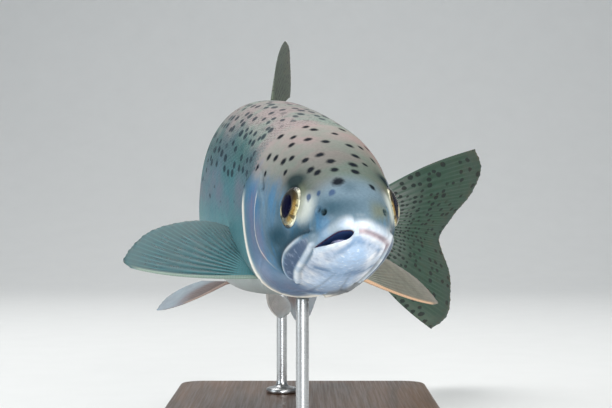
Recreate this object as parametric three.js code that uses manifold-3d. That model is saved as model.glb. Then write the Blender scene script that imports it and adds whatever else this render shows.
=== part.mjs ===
// A rainbow trout at life size, swimming in a shallow S-bend, on a plain display stand.
// Millimetres, +Z up. The origin is the middle of the base's underside and the snout points to -Y.
// Body coordinates (s, right, up): s runs along the spine from the snout to the tail, right is the
// fish's own right side, and up points from its belly to its back.
import * as THREE from "three";
import { mergeVertices } from "three/addons/utils/BufferGeometryUtils.js";
import Module from "manifold-3d";

const wasm = await Module();
wasm.setup();

// ---------------------------------------------------------------- driving dimensions
const GAP = 0.3; // clear space between neighbouring pieces
const FAR = 60; // past the widest part of the head
const SMOOTHING = 0.03; // how far a surface may move when small faces are merged

const STEM_END = 436; // root of the tail fin
const TAIL_TIP = 510; // end of the spine line, past the tail lobes
const SPINE_STEP = 2.5;

const SNOUT = new THREE.Vector3(22.6, -221.5, 117.9);
const HEADING = 10.5; // degrees that the snout is turned from -Y towards +X
const BEND = [ // place and curvature in 1/m
  [0, 0], [60, 0], [90, 2.9], [170, -3.2], [250, -4.2], [330, -4], [400, -3.5], [470, -2.3],
];
const PITCH = [[90, 4.5], [220, 0.1], [350, -8.2]]; // degrees the spine climbs towards the tail
const ROLL = [[90, 0.3], [220, 6.1], [430, 10]]; // degrees, right side up

// Each row is a section: place, back line, belly line and half width.
const SECTIONS = [
  [0, 2, -4, 2.6],
  [2, 5.2, -7.6, 6.9],
  [5, 8.3, -10.6, 10.3],
  [10, 12, -14.2, 13.9],
  [20, 17.2, -19.4, 18.4],
  [35, 23.2, -25.8, 23],
  [55, 29.2, -32.6, 27.2],
  [75, 34.4, -38, 30.2],
  [98, 39.2, -41.7, 31.5],
  [130, 44.4, -45.4, 31.2],
  [170, 48.5, -48.8, 32.3],
  [210, 49.5, -50.6, 33.4],
  [250, 46.9, -49.2, 31.8],
  [290, 41.4, -43.9, 28.3],
  [320, 35.8, -37.7, 24.1],
  [350, 29.8, -29.6, 19],
  [380, 24.3, -22.9, 13.9],
  [405, 21.7, -20.5, 9.8],
  [425, 22.8, -21.6, 6.4],
  [STEM_END, 24.3, -23.2, 2.6],
];
const WIDEST = [[0, -1], [60, -4], [150, 3.2], [300, 1.9], [430, 0]]; // height of the widest line

// Powers of the cosine and sine that draw a section: below 1 it is squarer, above 1 it is pinched.
const ROOF = [[30, 0.92], [70, 0.865], [130, 0.89]];
const FLOOR = [[60, 0.86], [90, 0.72], [130, 0.78], [160, 0.84]];
const KEEL = [[0, 1], [30, 1.2], [58, 1.2], [90, 0.75], [160, 0.9], [300, 0.95], [400, 1.1]];
const AROUND = 28; // points round a section
const HEAD_STEP = 10; // between rings of the head
const TRUNK_STEP = 16; // between rings of the trunk

const CUTS = { nape: 91, front: 185, middle: 285, rear: 362 }; // where the flesh is parted

const EYE = { s: 34, up: 4.6, radius: 9.4, depth: 5.6, bulge: 2.4 };
const SKULL_WALL = 5.5; // thickness of gill cover and upper jaw plates

const MOUTH_CAVITY = { s: 26, up: -13, length: 21, half: 11, height: 5, droop: 21 };
const MOUTH_GAPE = 4.2; // height of the open mouth at its front
const MOUTH_CORNER = 21; // where the open mouth closes
const JAW_TIP = 2; // the lower jaw's tip lies this far behind the snout
const JAW_HINGE = 63; // rear end of the lower jaw
const TONGUE = { s: 27, up: -17.2, length: 13, half: 5.5, height: 3, droop: 21 };

const BASE = { length: 260, width: 150, height: 16, corner: 14, edge: 1.5 };
const ROD = { radius: 3, footRadius: 9, footHeight: 4 };
const ROD_PLACES = { front: 112, rear: 298 };

// ---------------------------------------------------------------- small helpers
const radians = THREE.MathUtils.degToRad;

// Straight-line value of a table of [x, value] rows, held level past its ends.
function along(table, x) {
  const i = table.findIndex((row) => row[0] >= x);
  if (i === 0) return table[0][1];
  if (i < 0) return table[table.length - 1][1];
  const [x0, y0] = table[i - 1];
  const [x1, y1] = table[i];
  return THREE.MathUtils.mapLinear(x, x0, x1, y0, y1);
}

// Smooth value of one column of a table at x, by a cubic that doesn't overshoot.
function faired(rows, column, x) {
  const last = rows.length - 1;
  const at = THREE.MathUtils.clamp(x, rows[0][0], rows[last][0]);
  const i = Math.max(1, rows.findIndex((row) => row[0] >= at));
  const rise = (k) => (rows[k][column] - rows[k - 1][column]) / (rows[k][0] - rows[k - 1][0]);
  const slope = (k) => {
    if (k === 0) return rise(1);
    if (k === last) return rise(last);
    const product = rise(k) * rise(k + 1);
    return product <= 0 ? 0 : (2 * product) / (rise(k) + rise(k + 1));
  };
  const width = rows[i][0] - rows[i - 1][0];
  const t = (at - rows[i - 1][0]) / width;
  const a = rows[i - 1][column];
  const b = rows[i][column];
  const m0 = slope(i - 1) * width;
  const m1 = slope(i) * width;
  return (2 * t ** 3 - 3 * t ** 2 + 1) * a + (t ** 3 - 2 * t ** 2 + t) * m0
    + (3 * t ** 2 - 2 * t ** 3) * b + (t ** 3 - t ** 2) * m1;
}

// ---------------------------------------------------------------- spine
// The direction towards the tail at s, for a spine turned by heading.
function tailwards(s, heading) {
  const pitch = radians(along(PITCH, s));
  return new THREE.Vector3(
    -Math.sin(heading) * Math.cos(pitch), Math.cos(heading) * Math.cos(pitch), Math.sin(pitch));
}

// The spine is walked in short steps. Each stop keeps its place and the fish's own three directions.
function walkSpine() {
  const stops = [];
  const place = SNOUT.clone();
  let heading = radians(HEADING);
  for (let s = 0; s <= TAIL_TIP; s += SPINE_STEP) {
    const back = tailwards(s, heading);
    const level = new THREE.Vector3(-back.y, back.x, 0).normalize();
    const plumb = new THREE.Vector3().crossVectors(back, level);
    const roll = radians(along(ROLL, s));
    const right = level.clone().multiplyScalar(Math.cos(roll)).addScaledVector(plumb, Math.sin(roll));
    const up = plumb.clone().multiplyScalar(Math.cos(roll)).addScaledVector(level, -Math.sin(roll));
    stops.push({ place: place.clone(), back, right, up });
    const turn = (along(BEND, s + SPINE_STEP / 2) / 1000) * SPINE_STEP;
    place.addScaledVector(tailwards(s + SPINE_STEP / 2, heading + turn / 2), SPINE_STEP);
    heading += turn;
  }
  return stops;
}
const SPINE = walkSpine();

// The spine's frame at any s, blended between two stops.
function frameAt(s) {
  const x = THREE.MathUtils.clamp(s / SPINE_STEP, 0, SPINE.length - 1.001);
  const i = Math.floor(x);
  const blend = (key) => SPINE[i][key].clone().lerp(SPINE[i + 1][key], x - i);
  return {
    place: blend("place"),
    back: blend("back").normalize(),
    right: blend("right").normalize(),
    up: blend("up").normalize(),
  };
}

// A point in body coordinates, in the part's frame.
function bodyPoint(s, right, up) {
  const f = frameAt(s);
  return f.place.addScaledVector(f.right, right).addScaledVector(f.up, up);
}

// ---------------------------------------------------------------- body surface
// One point of the section at s: turn 0 is the right side, a quarter turn is the back.
function sectionPoint(s, turn, growth = 0) {
  const widest = along(WIDEST, s);
  const cosine = Math.cos(turn);
  const sine = Math.sin(turn);
  const upper = sine >= 0;
  const half = faired(SECTIONS, 3, s) + growth;
  const edge = upper ? faired(SECTIONS, 1, s) + growth : faired(SECTIONS, 2, s) - growth;
  const right = half * Math.sign(cosine) * Math.abs(cosine) ** along(upper ? ROOF : KEEL, s);
  const up = widest + (edge - widest) * Math.abs(sine) ** along(upper ? ROOF : FLOOR, s);
  return [right, up];
}

// Half width of the body at a given height.
function halfWidthAt(s, up) {
  const widest = along(WIDEST, s);
  const upper = up >= widest;
  const edge = faired(SECTIONS, upper ? 1 : 2, s);
  const sine = Math.min(1, (up - widest) / (edge - widest)) ** (1 / along(upper ? ROOF : FLOOR, s));
  return faired(SECTIONS, 3, s) * Math.sqrt(1 - sine ** 2) ** along(upper ? ROOF : KEEL, s);
}

// ---------------------------------------------------------------- solids
// A closed manifold solid from points and triangles.
function solid(points, triangles) {
  return new wasm.Manifold(new wasm.Mesh({
    numProp: 3,
    vertProperties: new Float32Array(points.flatMap((p) => [p.x, p.y, p.z])),
    triVerts: new Uint32Array(triangles.flat()),
  }));
}

// A three.js geometry as a manifold solid, after a transform.
function solidOf(geometry, matrix = new THREE.Matrix4()) {
  const bare = new THREE.BufferGeometry().setAttribute("position", geometry.getAttribute("position"));
  if (geometry.index) bare.setIndex(geometry.index);
  const merged = mergeVertices(bare.applyMatrix4(matrix), 1e-4);
  return new wasm.Manifold(new wasm.Mesh({
    numProp: 3,
    vertProperties: new Float32Array(merged.getAttribute("position").array),
    triVerts: new Uint32Array(merged.index.array),
  }));
}

// Places of the rings of a loft: close together at the snout, and step apart behind it.
function ringPlaces(from, to, step) {
  const places = [from];
  while (places[places.length - 1] < to) {
    const last = places[places.length - 1];
    places.push(last + Math.min(step, Math.max(2, last * 0.7)));
  }
  const end = places.length - 1;
  const spare = (places[end] - to) / (places[end] - from);
  return places.map((s) => s - (s - from) * spare);
}

// The body between two places as a closed loft, grown or shrunk all round by growth.
function bodyLoft(from, to, { step = TRUNK_STEP, growth = 0, around = AROUND } = {}) {
  const places = ringPlaces(from, to, step);
  const points = [];
  const triangles = [];
  for (const s of places) {
    for (let k = 0; k < around; k++) {
      const [right, up] = sectionPoint(s, (2 * Math.PI * k) / around, growth);
      points.push(bodyPoint(s, right, up));
    }
  }
  for (let ring = 0; ring < places.length - 1; ring++) {
    for (let k = 0; k < around; k++) {
      const a = ring * around + k;
      const b = ring * around + ((k + 1) % around);
      triangles.push([a, b, a + around], [b, b + around, a + around]);
    }
  }
  const front = points.push(bodyPoint(from, 0, along(WIDEST, from))) - 1;
  const rear = points.push(bodyPoint(to, 0, along(WIDEST, to))) - 1;
  const lastRing = (places.length - 1) * around;
  for (let k = 0; k < around; k++) {
    const next = (k + 1) % around;
    triangles.push([front, next, k], [rear, lastRing + k, lastRing + next]);
  }
  return solid(points, triangles);
}

// What lies tailwards (+1) or headwards (-1) of the section plane at s.
function keepSide(shape, s, side) {
  const f = frameAt(s);
  const normal = f.back.clone().multiplyScalar(side);
  return shape.trimByPlane(normal.toArray(), normal.dot(f.place));
}

// The head's frame as a matrix: X tailwards, Y up, Z to the fish's left.
function headMatrix() {
  const f = frameAt(EYE.s);
  return new THREE.Matrix4().makeBasis(f.back, f.up, f.right.negate()).setPosition(bodyPoint(0, 0, 0));
}

// A side outline pushed through the head between two distances to the fish's right.
function sidePrism(outline, inner, outer) {
  const depth = Math.abs(outer - inner);
  const geometry = new THREE.ExtrudeGeometry(outline, { depth, bevelEnabled: false, curveSegments: 1 });
  geometry.translate(0, 0, -Math.max(inner, outer));
  return solidOf(geometry, headMatrix());
}

// A rounded lump in head coordinates, its rear end drooping, grown all round by growth.
function headEllipsoid({ s, up, length, half, height, droop }, growth = 0) {
  const ball = new THREE.SphereGeometry(1, 14, 8);
  ball.scale(length + growth, height + growth, half + growth).rotateZ(-radians(droop)).translate(s, up, 0);
  return solidOf(ball, headMatrix());
}

// ---------------------------------------------------------------- head outlines (side view: s, up)
const OUTLINE_STEPS = 7; // straight stretches in a smooth line

// A smooth line through a few points, as points for a Shape.
function smoothLine(points, count) {
  const curve = new THREE.SplineCurve(points.map(([s, up]) => new THREE.Vector2(s, up)));
  return curve.getPoints(count);
}

// The upper jaw plate runs from the snout's side to behind the eye, and broadens like a paddle.
const JAW_PLATE_TOP = [[14, -4], [28, -8], [43, -14.5], [52, -19.5], [58, -24.5], [59, -28.5]];
const JAW_PLATE_FOOT = [[59, -28.5], [55, -27.6], [45, -22.6], [30, -16.2], [15, -9.6], [12.5, -7], [14, -4]];

// The gill cover: straight at the cheek, rounded behind, narrow under the throat.
const GILL_REAR = [
  [67.5, 9.5], [74, 15.5], [83, 17], [93, 11.5], [99.3, 0], [99.3, -14], [94, -28], [84, -36.4],
];
const GILL_FRONT = [[84, -36.4], [73, -34.6], [64, -27], [61.5, -12], [63.5, 0], [67.5, 9.5]];

// A closed outline from two smooth lines, grown outwards by growth.
function outline(first, second, growth = 0) {
  const points = [...smoothLine(first, OUTLINE_STEPS), ...smoothLine(second, OUTLINE_STEPS).slice(1, -1)];
  const area = THREE.ShapeUtils.area(points);
  const grown = points.map((point, i) => {
    const before = points[(i + points.length - 1) % points.length];
    const after = points[(i + 1) % points.length];
    const direction = after.clone().sub(before).normalize();
    const outward = new THREE.Vector2(direction.y, -direction.x).multiplyScalar(Math.sign(area));
    return point.clone().addScaledVector(outward, growth);
  });
  return new THREE.Shape(grown);
}

// The mouth line, from the snout's tip to the corner under the jaw plate.
const MOUTH_LINE = [
  [-6, -0.8], [0, -1.2], [3, -2.4], [8, -5.6], [14, -9],
  [30, -16.2], [45, -22.6], [55, -27.6], [JAW_HINGE, -31],
];

// The lower jaw's region: everything under the mouth line, which gapes at the front and is grown by growth.
function jawShape(gape, growth = 0) {
  const line = smoothLine(MOUTH_LINE, OUTLINE_STEPS).map((p) => {
    const open = gape * THREE.MathUtils.smoothstep(MOUTH_CORNER - p.x, 0, MOUTH_CORNER - JAW_TIP);
    return new THREE.Vector2(p.x, p.y - open + growth);
  });
  const hinge = line[line.length - 1];
  return new THREE.Shape([
    ...line.slice(0, -1),
    new THREE.Vector2(JAW_HINGE + growth, hinge.y),
    new THREE.Vector2(JAW_HINGE + growth, -FAR),
    new THREE.Vector2(MOUTH_LINE[0][0], -FAR),
  ]);
}

// ---------------------------------------------------------------- fins
// A thin closed sheet over a grid of points, thickest at the root.
function sheet(columns, rows, pointAt, thicknessAt) {
  const grid = [];
  for (let i = 0; i <= columns; i++) {
    grid.push([]);
    for (let j = 0; j <= rows; j++) grid[i].push(pointAt(i / columns, j / rows));
  }
  const points = [];
  for (let i = 0; i <= columns; i++) {
    for (let j = 0; j <= rows; j++) {
      const acrossRays = grid[Math.min(i + 1, columns)][j].clone().sub(grid[Math.max(i - 1, 0)][j]);
      const alongRay = grid[i][Math.min(j + 1, rows)].clone().sub(grid[i][Math.max(j - 1, 0)]);
      const normal = acrossRays.cross(alongRay).normalize();
      const half = thicknessAt(i / columns, j / rows) / 2;
      points.push(grid[i][j].clone().addScaledVector(normal, half));
      points.push(grid[i][j].clone().addScaledVector(normal, -half));
    }
  }
  const at = (i, j, side) => 2 * (i * (rows + 1) + j) + side;
  const triangles = [];
  const quad = (a, b, c, d) => triangles.push([a, b, c], [a, c, d]);
  for (let i = 0; i < columns; i++) {
    for (let j = 0; j < rows; j++) {
      quad(at(i, j, 0), at(i + 1, j, 0), at(i + 1, j + 1, 0), at(i, j + 1, 0));
      quad(at(i, j, 1), at(i, j + 1, 1), at(i + 1, j + 1, 1), at(i + 1, j, 1));
    }
    quad(at(i, 0, 1), at(i + 1, 0, 1), at(i + 1, 0, 0), at(i, 0, 0));
    quad(at(i, rows, 0), at(i + 1, rows, 0), at(i + 1, rows, 1), at(i, rows, 1));
  }
  for (let j = 0; j < rows; j++) {
    quad(at(0, j, 0), at(0, j + 1, 0), at(0, j + 1, 1), at(0, j, 1));
    quad(at(columns, j, 1), at(columns, j + 1, 1), at(columns, j + 1, 0), at(columns, j, 0));
  }
  return solid(points, triangles);
}

const FIN_SINK = 5; // how far a root starts inside the flesh before it is cut back to it

// A fin on the back (side +1) or belly (side -1). Its rays lean tailwards and follow the body's bend.
function medianFin({ start, base, side, lengths, lean, thickness, columns, rows }) {
  const pointAt = (u, v) => {
    const rootS = start + base * u;
    const edge = faired(SECTIONS, side > 0 ? 1 : 2, rootS);
    const angle = radians(THREE.MathUtils.lerp(lean[0], lean[1], u) + 9 * v * v);
    const reach = -FIN_SINK + v * (along(lengths, u) + FIN_SINK);
    return bodyPoint(rootS + reach * Math.sin(angle), 0, edge + side * reach * Math.cos(angle));
  };
  const thicknessAt = (u, v) => THREE.MathUtils.lerp(thickness[0], thickness[1], Math.sqrt(v));
  return sheet(columns, rows, pointAt, thicknessAt);
}

const DORSAL = {
  start: 204, base: 58, side: 1, lean: [36, 50], thickness: [4.4, 0.7], columns: 12, rows: 5,
  lengths: [[0, 22], [0.1, 46], [0.2, 57], [0.32, 58], [0.6, 48], [0.85, 36], [1, 27]],
};
const ANAL = {
  start: 318, base: 45, side: -1, lean: [30, 48], thickness: [4, 0.7], columns: 10, rows: 5,
  lengths: [[0, 16], [0.12, 38], [0.24, 47], [0.36, 47], [0.7, 33], [1, 20]],
};
const ADIPOSE = {
  start: 349, base: 11, side: 1, lean: [52, 78], thickness: [3.6, 1.8], columns: 5, rows: 5,
  lengths: [[0, 12], [0.4, 20], [1, 17]],
};

// The tail fin fans out from the end of the stem into two lobes. Its outer rays start further forward,
// and its upper and lower edges bow outwards. Rays are [-1 lower edge to 1 upper edge, length].
const TAIL = {
  columns: 20, rows: 5, halfRoot: 21, forward: 22, spread: 27.6, bow: 3.2, thickness: [4.6, 0.8],
  rays: [
    [-1, 91], [-0.9, 91.5], [-0.6, 76], [-0.45, 68], [-0.17, 52],
    [0, 47], [0.35, 57], [0.63, 77], [0.87, 92], [1, 94],
  ],
};
function tailFin() {
  const pointAt = (u, v) => {
    const w = 2 * u - 1;
    const rootS = STEM_END - TAIL.forward * Math.abs(w) ** 3;
    const angle = radians(TAIL.spread * w);
    const reach = -FIN_SINK + v * (faired(TAIL.rays, 1, w) + FIN_SINK);
    const bow = TAIL.bow * w ** 3 * Math.sin(Math.PI * v);
    return bodyPoint(rootS + reach * Math.cos(angle), 0, TAIL.halfRoot * w + reach * Math.sin(angle) + bow);
  };
  const thicknessAt = (u, v) => THREE.MathUtils.lerp(TAIL.thickness[0], TAIL.thickness[1], Math.sqrt(v));
  return sheet(TAIL.columns, TAIL.rows, pointAt, thicknessAt);
}

// A paired fin fans from its leading ray to its trailing ray. Directions are (right, back, up), and the
// leading rays start out turned away from the fan by curl degrees.
function pairedFin({ root, rootEnd, lead, trail, lengths, curl, thickness, columns, rows }) {
  const f = frameAt(root[0]);
  const direction = ([right, back, up]) => new THREE.Vector3()
    .addScaledVector(f.right, right).addScaledVector(f.back, back).addScaledVector(f.up, up).normalize();
  const leading = direction(lead);
  const trailing = direction(trail);
  const fan = leading.angleTo(trailing);
  const across = trailing.clone().addScaledVector(leading, -Math.cos(fan)).normalize();
  const first = bodyPoint(...root);
  const last = bodyPoint(...rootEnd);
  const pointAt = (u, v) => {
    const angle = fan * u - radians(curl) * (1 - v * v) * (1 - u);
    const ray = leading.clone().multiplyScalar(Math.cos(angle)).addScaledVector(across, Math.sin(angle));
    const reach = -FIN_SINK + v * (along(lengths, u) + FIN_SINK);
    return first.clone().lerp(last, u).addScaledVector(ray, reach);
  };
  const thicknessAt = (u, v) => THREE.MathUtils.lerp(thickness[0], thickness[1], Math.sqrt(v))
    * THREE.MathUtils.lerp(1, 0.75, u);
  return sheet(columns, rows, pointAt, thicknessAt);
}

const PECTORAL = {
  lengths: [[0, 58], [0.06, 63], [0.3, 61], [0.6, 50], [0.85, 38], [1, 29]],
  curl: 8, thickness: [4, 0.8], columns: 10, rows: 6,
};
const PELVIC = {
  lengths: [[0, 46], [0.1, 51], [0.4, 47], [0.7, 40], [1, 31]],
  curl: 10, thickness: [3.4, 0.8], columns: 8, rows: 5,
};
const PAIRED_FINS = {
  pectoral_fin_right: {
    ...PECTORAL, root: [102, 25, -33], rootEnd: [109, 25.5, -26],
    lead: [0.9, 0.44, 0.02], trail: [0.16, 0.82, 0.53],
  },
  pectoral_fin_left: {
    ...PECTORAL, root: [102, -25, -33], rootEnd: [109, -25.5, -27],
    lead: [-0.83, 0.48, -0.29], trail: [-0.5, 0.85, 0.12],
  },
  pelvic_fin_right: {
    ...PELVIC, root: [233, 11, -46.5], rootEnd: [243, 7, -48],
    lead: [0.82, 0.34, -0.47], trail: [0.72, 0.69, -0.08],
  },
  pelvic_fin_left: {
    ...PELVIC, root: [233, -8, -47], rootEnd: [243, -5, -48.5],
    lead: [-0.14, 0.9, -0.42], trail: [-0.46, 0.86, -0.24],
  },
};

// ---------------------------------------------------------------- finishes
function finish(color, roughness, metalness = 0) {
  return new THREE.MeshStandardMaterial({ color, roughness, metalness });
}
const FINISH = {
  back: finish(0x8d8a78, 0.35),
  flank: finish(0x8fa5ad, 0.3),
  cheek: finish(0x7f93ae, 0.28),
  lip: finish(0xc9d0de, 0.3),
  fin: finish(0x8a8f80, 0.45),
  pairedFin: finish(0xb5a58e, 0.45),
  eye: finish(0xb98a34, 0.1),
  wood: finish(0x4a3222, 0.5),
  steel: finish(0xb8bcc0, 0.3, 1),
};

const part = new THREE.Group();

// Adds a solid to the part as a named mesh.
function addPiece(name, shape, material) {
  const { vertProperties, numProp, triVerts } = shape.simplify(SMOOTHING).getMesh();
  if (numProp !== 3) throw new Error(`${name} carries more than positions`);
  const geometry = new THREE.BufferGeometry();
  geometry.setAttribute("position", new THREE.BufferAttribute(new Float32Array(vertProperties), 3));
  geometry.setIndex([...triVerts]);
  geometry.computeVertexNormals();
  const mesh = new THREE.Mesh(geometry, material);
  mesh.name = name;
  part.add(mesh);
}

// ---------------------------------------------------------------- body
const SIDES = { right: 1, left: -1 };

const outerHead = bodyLoft(0, CUTS.front, { step: HEAD_STEP });
const innerHead = bodyLoft(10, CUTS.front, { growth: -SKULL_WALL, around: 18 });
const innerPocket = bodyLoft(10, CUTS.front, { growth: -SKULL_WALL - GAP, around: 18 });
const headWithGap = bodyLoft(40, CUTS.front, { step: HEAD_STEP, growth: GAP });
const trunkWithGap = bodyLoft(CUTS.nape, STEM_END, { growth: GAP });
const stemWithGap = bodyLoft(CUTS.rear, STEM_END + GAP, { growth: GAP });

// The eyeball is a flattened ball whose flat side faces along the cheek's own normal.
function eyeball(side, growth) {
  const { s, up, radius, depth, bulge } = EYE;
  const reach = radius / 3;
  const skin = (ds, du) => bodyPoint(s + ds, side * halfWidthAt(s + ds, up + du), up + du);
  const backwards = skin(reach, 0).sub(skin(-reach, 0));
  const upwards = skin(0, reach).sub(skin(0, -reach));
  const outward = upwards.clone().cross(backwards).multiplyScalar(side).normalize();
  backwards.normalize();
  const above = outward.clone().cross(backwards).normalize();
  const centre = skin(0, 0).addScaledVector(outward, bulge - depth);
  const ball = new THREE.SphereGeometry(1, 18, 9).rotateX(Math.PI / 2);
  ball.scale(radius + growth, radius + growth, depth + growth);
  const frame = new THREE.Matrix4().makeBasis(backwards, above, outward).setPosition(centre);
  return solidOf(ball, frame);
}

const mouthCavity = headEllipsoid(MOUTH_CAVITY);
const gillOutline = outline(GILL_REAR, GILL_FRONT);
const gillPocket = outline(GILL_REAR, GILL_FRONT, GAP);
const plateOutline = outline(JAW_PLATE_TOP, JAW_PLATE_FOOT);
const platePocket = outline(JAW_PLATE_TOP, JAW_PLATE_FOOT, GAP);

let skull = outerHead.subtract(mouthCavity);
let lowerJaw = skull.intersect(sidePrism(jawShape(MOUTH_GAPE), -FAR, FAR));
skull = skull.subtract(sidePrism(jawShape(0, GAP), -FAR, FAR)).subtract(headEllipsoid(TONGUE, GAP));
lowerJaw = keepSide(lowerJaw, JAW_TIP, 1).add(headEllipsoid(TONGUE));

for (const [side, sign] of Object.entries(SIDES)) {
  const gillBlock = sidePrism(gillOutline, sign * 4, sign * FAR);
  const gillRoom = sidePrism(gillPocket, sign * (4 - GAP), sign * FAR).subtract(innerPocket);
  const plateBlock = sidePrism(plateOutline, sign * 4, sign * FAR);
  const plateRoom = sidePrism(platePocket, sign * (4 - GAP), sign * FAR).subtract(innerPocket);
  addPiece(`gill_cover_${side}`, outerHead.intersect(gillBlock).subtract(innerHead), FINISH.cheek);
  addPiece(`upper_jaw_plate_${side}`, skull.intersect(plateBlock).subtract(innerHead), FINISH.lip);
  addPiece(`eye_${side}`, eyeball(sign, 0), FINISH.eye);
  skull = skull.subtract(gillRoom).subtract(plateRoom).subtract(eyeball(sign, GAP));
  lowerJaw = lowerJaw.subtract(plateRoom).subtract(gillRoom);
}
addPiece("head", keepSide(skull, CUTS.nape, -1), FINISH.back);
addPiece("lower_jaw", lowerJaw, FINISH.lip);
addPiece("trunk_front", keepSide(skull, CUTS.nape + GAP, 1), FINISH.flank);
addPiece("trunk_middle", bodyLoft(CUTS.front + GAP, CUTS.middle), FINISH.flank);
addPiece("trunk_rear", bodyLoft(CUTS.middle + GAP, CUTS.rear), FINISH.flank);
addPiece("tail_stem", bodyLoft(CUTS.rear + GAP, STEM_END), FINISH.flank);

// ---------------------------------------------------------------- fins
addPiece("dorsal_fin", medianFin(DORSAL).subtract(trunkWithGap), FINISH.fin);
addPiece("adipose_fin", medianFin(ADIPOSE).subtract(trunkWithGap), FINISH.fin);
addPiece("anal_fin", medianFin(ANAL).subtract(trunkWithGap), FINISH.pairedFin);
addPiece("tail_fin", tailFin().subtract(stemWithGap), FINISH.fin);
for (const [name, fin] of Object.entries(PAIRED_FINS)) {
  const flesh = fin.root[0] < CUTS.front ? headWithGap : trunkWithGap;
  addPiece(name, pairedFin(fin).subtract(flesh), FINISH.pairedFin);
}

// ---------------------------------------------------------------- stand
// The base is a rounded slab with a small chamfer all round.
function standBase() {
  const { length, width, height, corner, edge } = BASE;
  const x = width / 2 - edge;
  const y = length / 2 - edge;
  const slab = new THREE.Shape()
    .moveTo(corner - x, -y)
    .lineTo(x - corner, -y)
    .absarc(x - corner, corner - y, corner, -Math.PI / 2, 0)
    .lineTo(x, y - corner)
    .absarc(x - corner, y - corner, corner, 0, Math.PI / 2)
    .lineTo(corner - x, y)
    .absarc(corner - x, y - corner, corner, Math.PI / 2, Math.PI)
    .lineTo(-x, corner - y)
    .absarc(corner - x, corner - y, corner, Math.PI, 1.5 * Math.PI);
  const geometry = new THREE.ExtrudeGeometry(slab, {
    depth: height - 2 * edge, bevelThickness: edge, bevelSize: edge, bevelSegments: 1, curveSegments: 3,
  });
  return solidOf(geometry.translate(0, 0, edge));
}

// A rod with a small round foot, cut back to the belly it carries.
function standRod(s) {
  const { radius, footRadius, footHeight } = ROD;
  const belly = bodyPoint(s, 0, 0);
  const foot = BASE.height + GAP;
  const profile = [
    [0, foot], [footRadius, foot], [footRadius, foot + footHeight - 1], [footRadius - 1, foot + footHeight],
    [radius, foot + footHeight], [radius, belly.z - 10], [0, belly.z - 10],
  ].map(([r, z]) => new THREE.Vector2(r, z));
  const turned = new THREE.LatheGeometry(profile, 18).rotateX(Math.PI / 2);
  const place = new THREE.Matrix4().makeTranslation(belly.x, belly.y, 0);
  return solidOf(turned, place);
}

addPiece("stand_base", standBase(), FINISH.wood);
addPiece("stand_rod_front", standRod(ROD_PLACES.front).subtract(headWithGap), FINISH.steel);
addPiece("stand_rod_rear", standRod(ROD_PLACES.rear).subtract(trunkWithGap), FINISH.steel);

export default part;
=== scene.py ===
"""A rainbow trout at life size, swimming in a gentle bend, held over a wooden base by two steel rods.

The body is worked out in a straight frame first: x to the fish's left, y tailwards along the spine (called s)
and z up, all in millimetres. Spine.bend then lays those points along the curved spine, in metres.
"""
import logging
import math
from dataclasses import dataclass, field
from enum import Enum
from functools import reduce
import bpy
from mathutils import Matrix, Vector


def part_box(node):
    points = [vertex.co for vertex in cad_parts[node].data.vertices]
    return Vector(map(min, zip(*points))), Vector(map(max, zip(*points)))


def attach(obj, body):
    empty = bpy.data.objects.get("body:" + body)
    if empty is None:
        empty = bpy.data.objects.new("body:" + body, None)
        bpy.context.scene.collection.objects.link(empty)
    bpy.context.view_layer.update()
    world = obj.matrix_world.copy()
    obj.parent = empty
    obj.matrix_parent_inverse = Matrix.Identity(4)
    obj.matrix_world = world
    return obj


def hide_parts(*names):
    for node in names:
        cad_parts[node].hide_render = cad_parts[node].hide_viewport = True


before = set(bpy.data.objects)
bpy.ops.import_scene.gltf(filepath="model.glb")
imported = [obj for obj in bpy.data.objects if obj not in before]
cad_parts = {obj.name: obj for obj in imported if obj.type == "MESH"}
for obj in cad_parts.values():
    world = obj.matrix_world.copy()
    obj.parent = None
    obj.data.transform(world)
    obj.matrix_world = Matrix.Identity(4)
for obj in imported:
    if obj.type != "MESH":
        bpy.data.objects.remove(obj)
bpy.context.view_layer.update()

from types import SimpleNamespace
from typing import Sequence

import bpy
import numpy as np
from bpy.types import Material, Mesh, Node, NodeSocket, NodeTree, Object

log = logging.getLogger("trout")
Array = np.ndarray
Rows = Sequence[Sequence[float]]
Triple = tuple[float, float, float]

MM = 0.001
BODY = "root"
BAKE_MAP = "OFBake"

# ---------------------------------------------------------------- driving dimensions, as in the solids
STEM_END = 436.0  # root of the tail fin
TAIL_TIP = 510.0
SPINE_STEP = 2.5
SNOUT = (22.6, -221.5, 117.9)
HEADING = 10.5  # degrees
BEND = ((0, 0), (60, 0), (90, 2.9), (170, -3.2), (250, -4.2), (330, -4), (400, -3.5), (470, -2.3))  # 1/m
PITCH = ((90, 4.5), (220, 0.1), (350, -8.2))  # degrees
ROLL = ((90, 0.3), (220, 6.1), (430, 10))  # degrees

# Place along the spine, back line, belly line and half width.
SECTIONS = (
    (0, 2, -4, 2.6), (2, 5.2, -7.6, 6.9), (5, 8.3, -10.6, 10.3), (10, 12, -14.2, 13.9),
    (20, 17.2, -19.4, 18.4), (35, 23.2, -25.8, 23), (55, 29.2, -32.6, 27.2), (75, 34.4, -38, 30.2),
    (98, 39.2, -41.7, 31.5), (130, 44.4, -45.4, 31.2), (170, 48.5, -48.8, 32.3), (210, 49.5, -50.6, 33.4),
    (250, 46.9, -49.2, 31.8), (290, 41.4, -43.9, 28.3), (320, 35.8, -37.7, 24.1), (350, 29.8, -29.6, 19),
    (380, 24.3, -22.9, 13.9), (405, 21.7, -20.5, 9.8), (425, 22.8, -21.6, 6.4), (STEM_END, 24.3, -23.2, 2.6),
)
WIDEST = ((0, -1), (60, -4), (150, 3.2), (300, 1.9), (430, 0))
ROOF = ((30, 0.92), (70, 0.865), (130, 0.89))
FLOOR = ((60, 0.86), (90, 0.72), (130, 0.78), (160, 0.84))
KEEL = ((0, 1), (30, 1.2), (58, 1.2), (90, 0.75), (160, 0.9), (300, 0.95), (400, 1.1))

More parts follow.
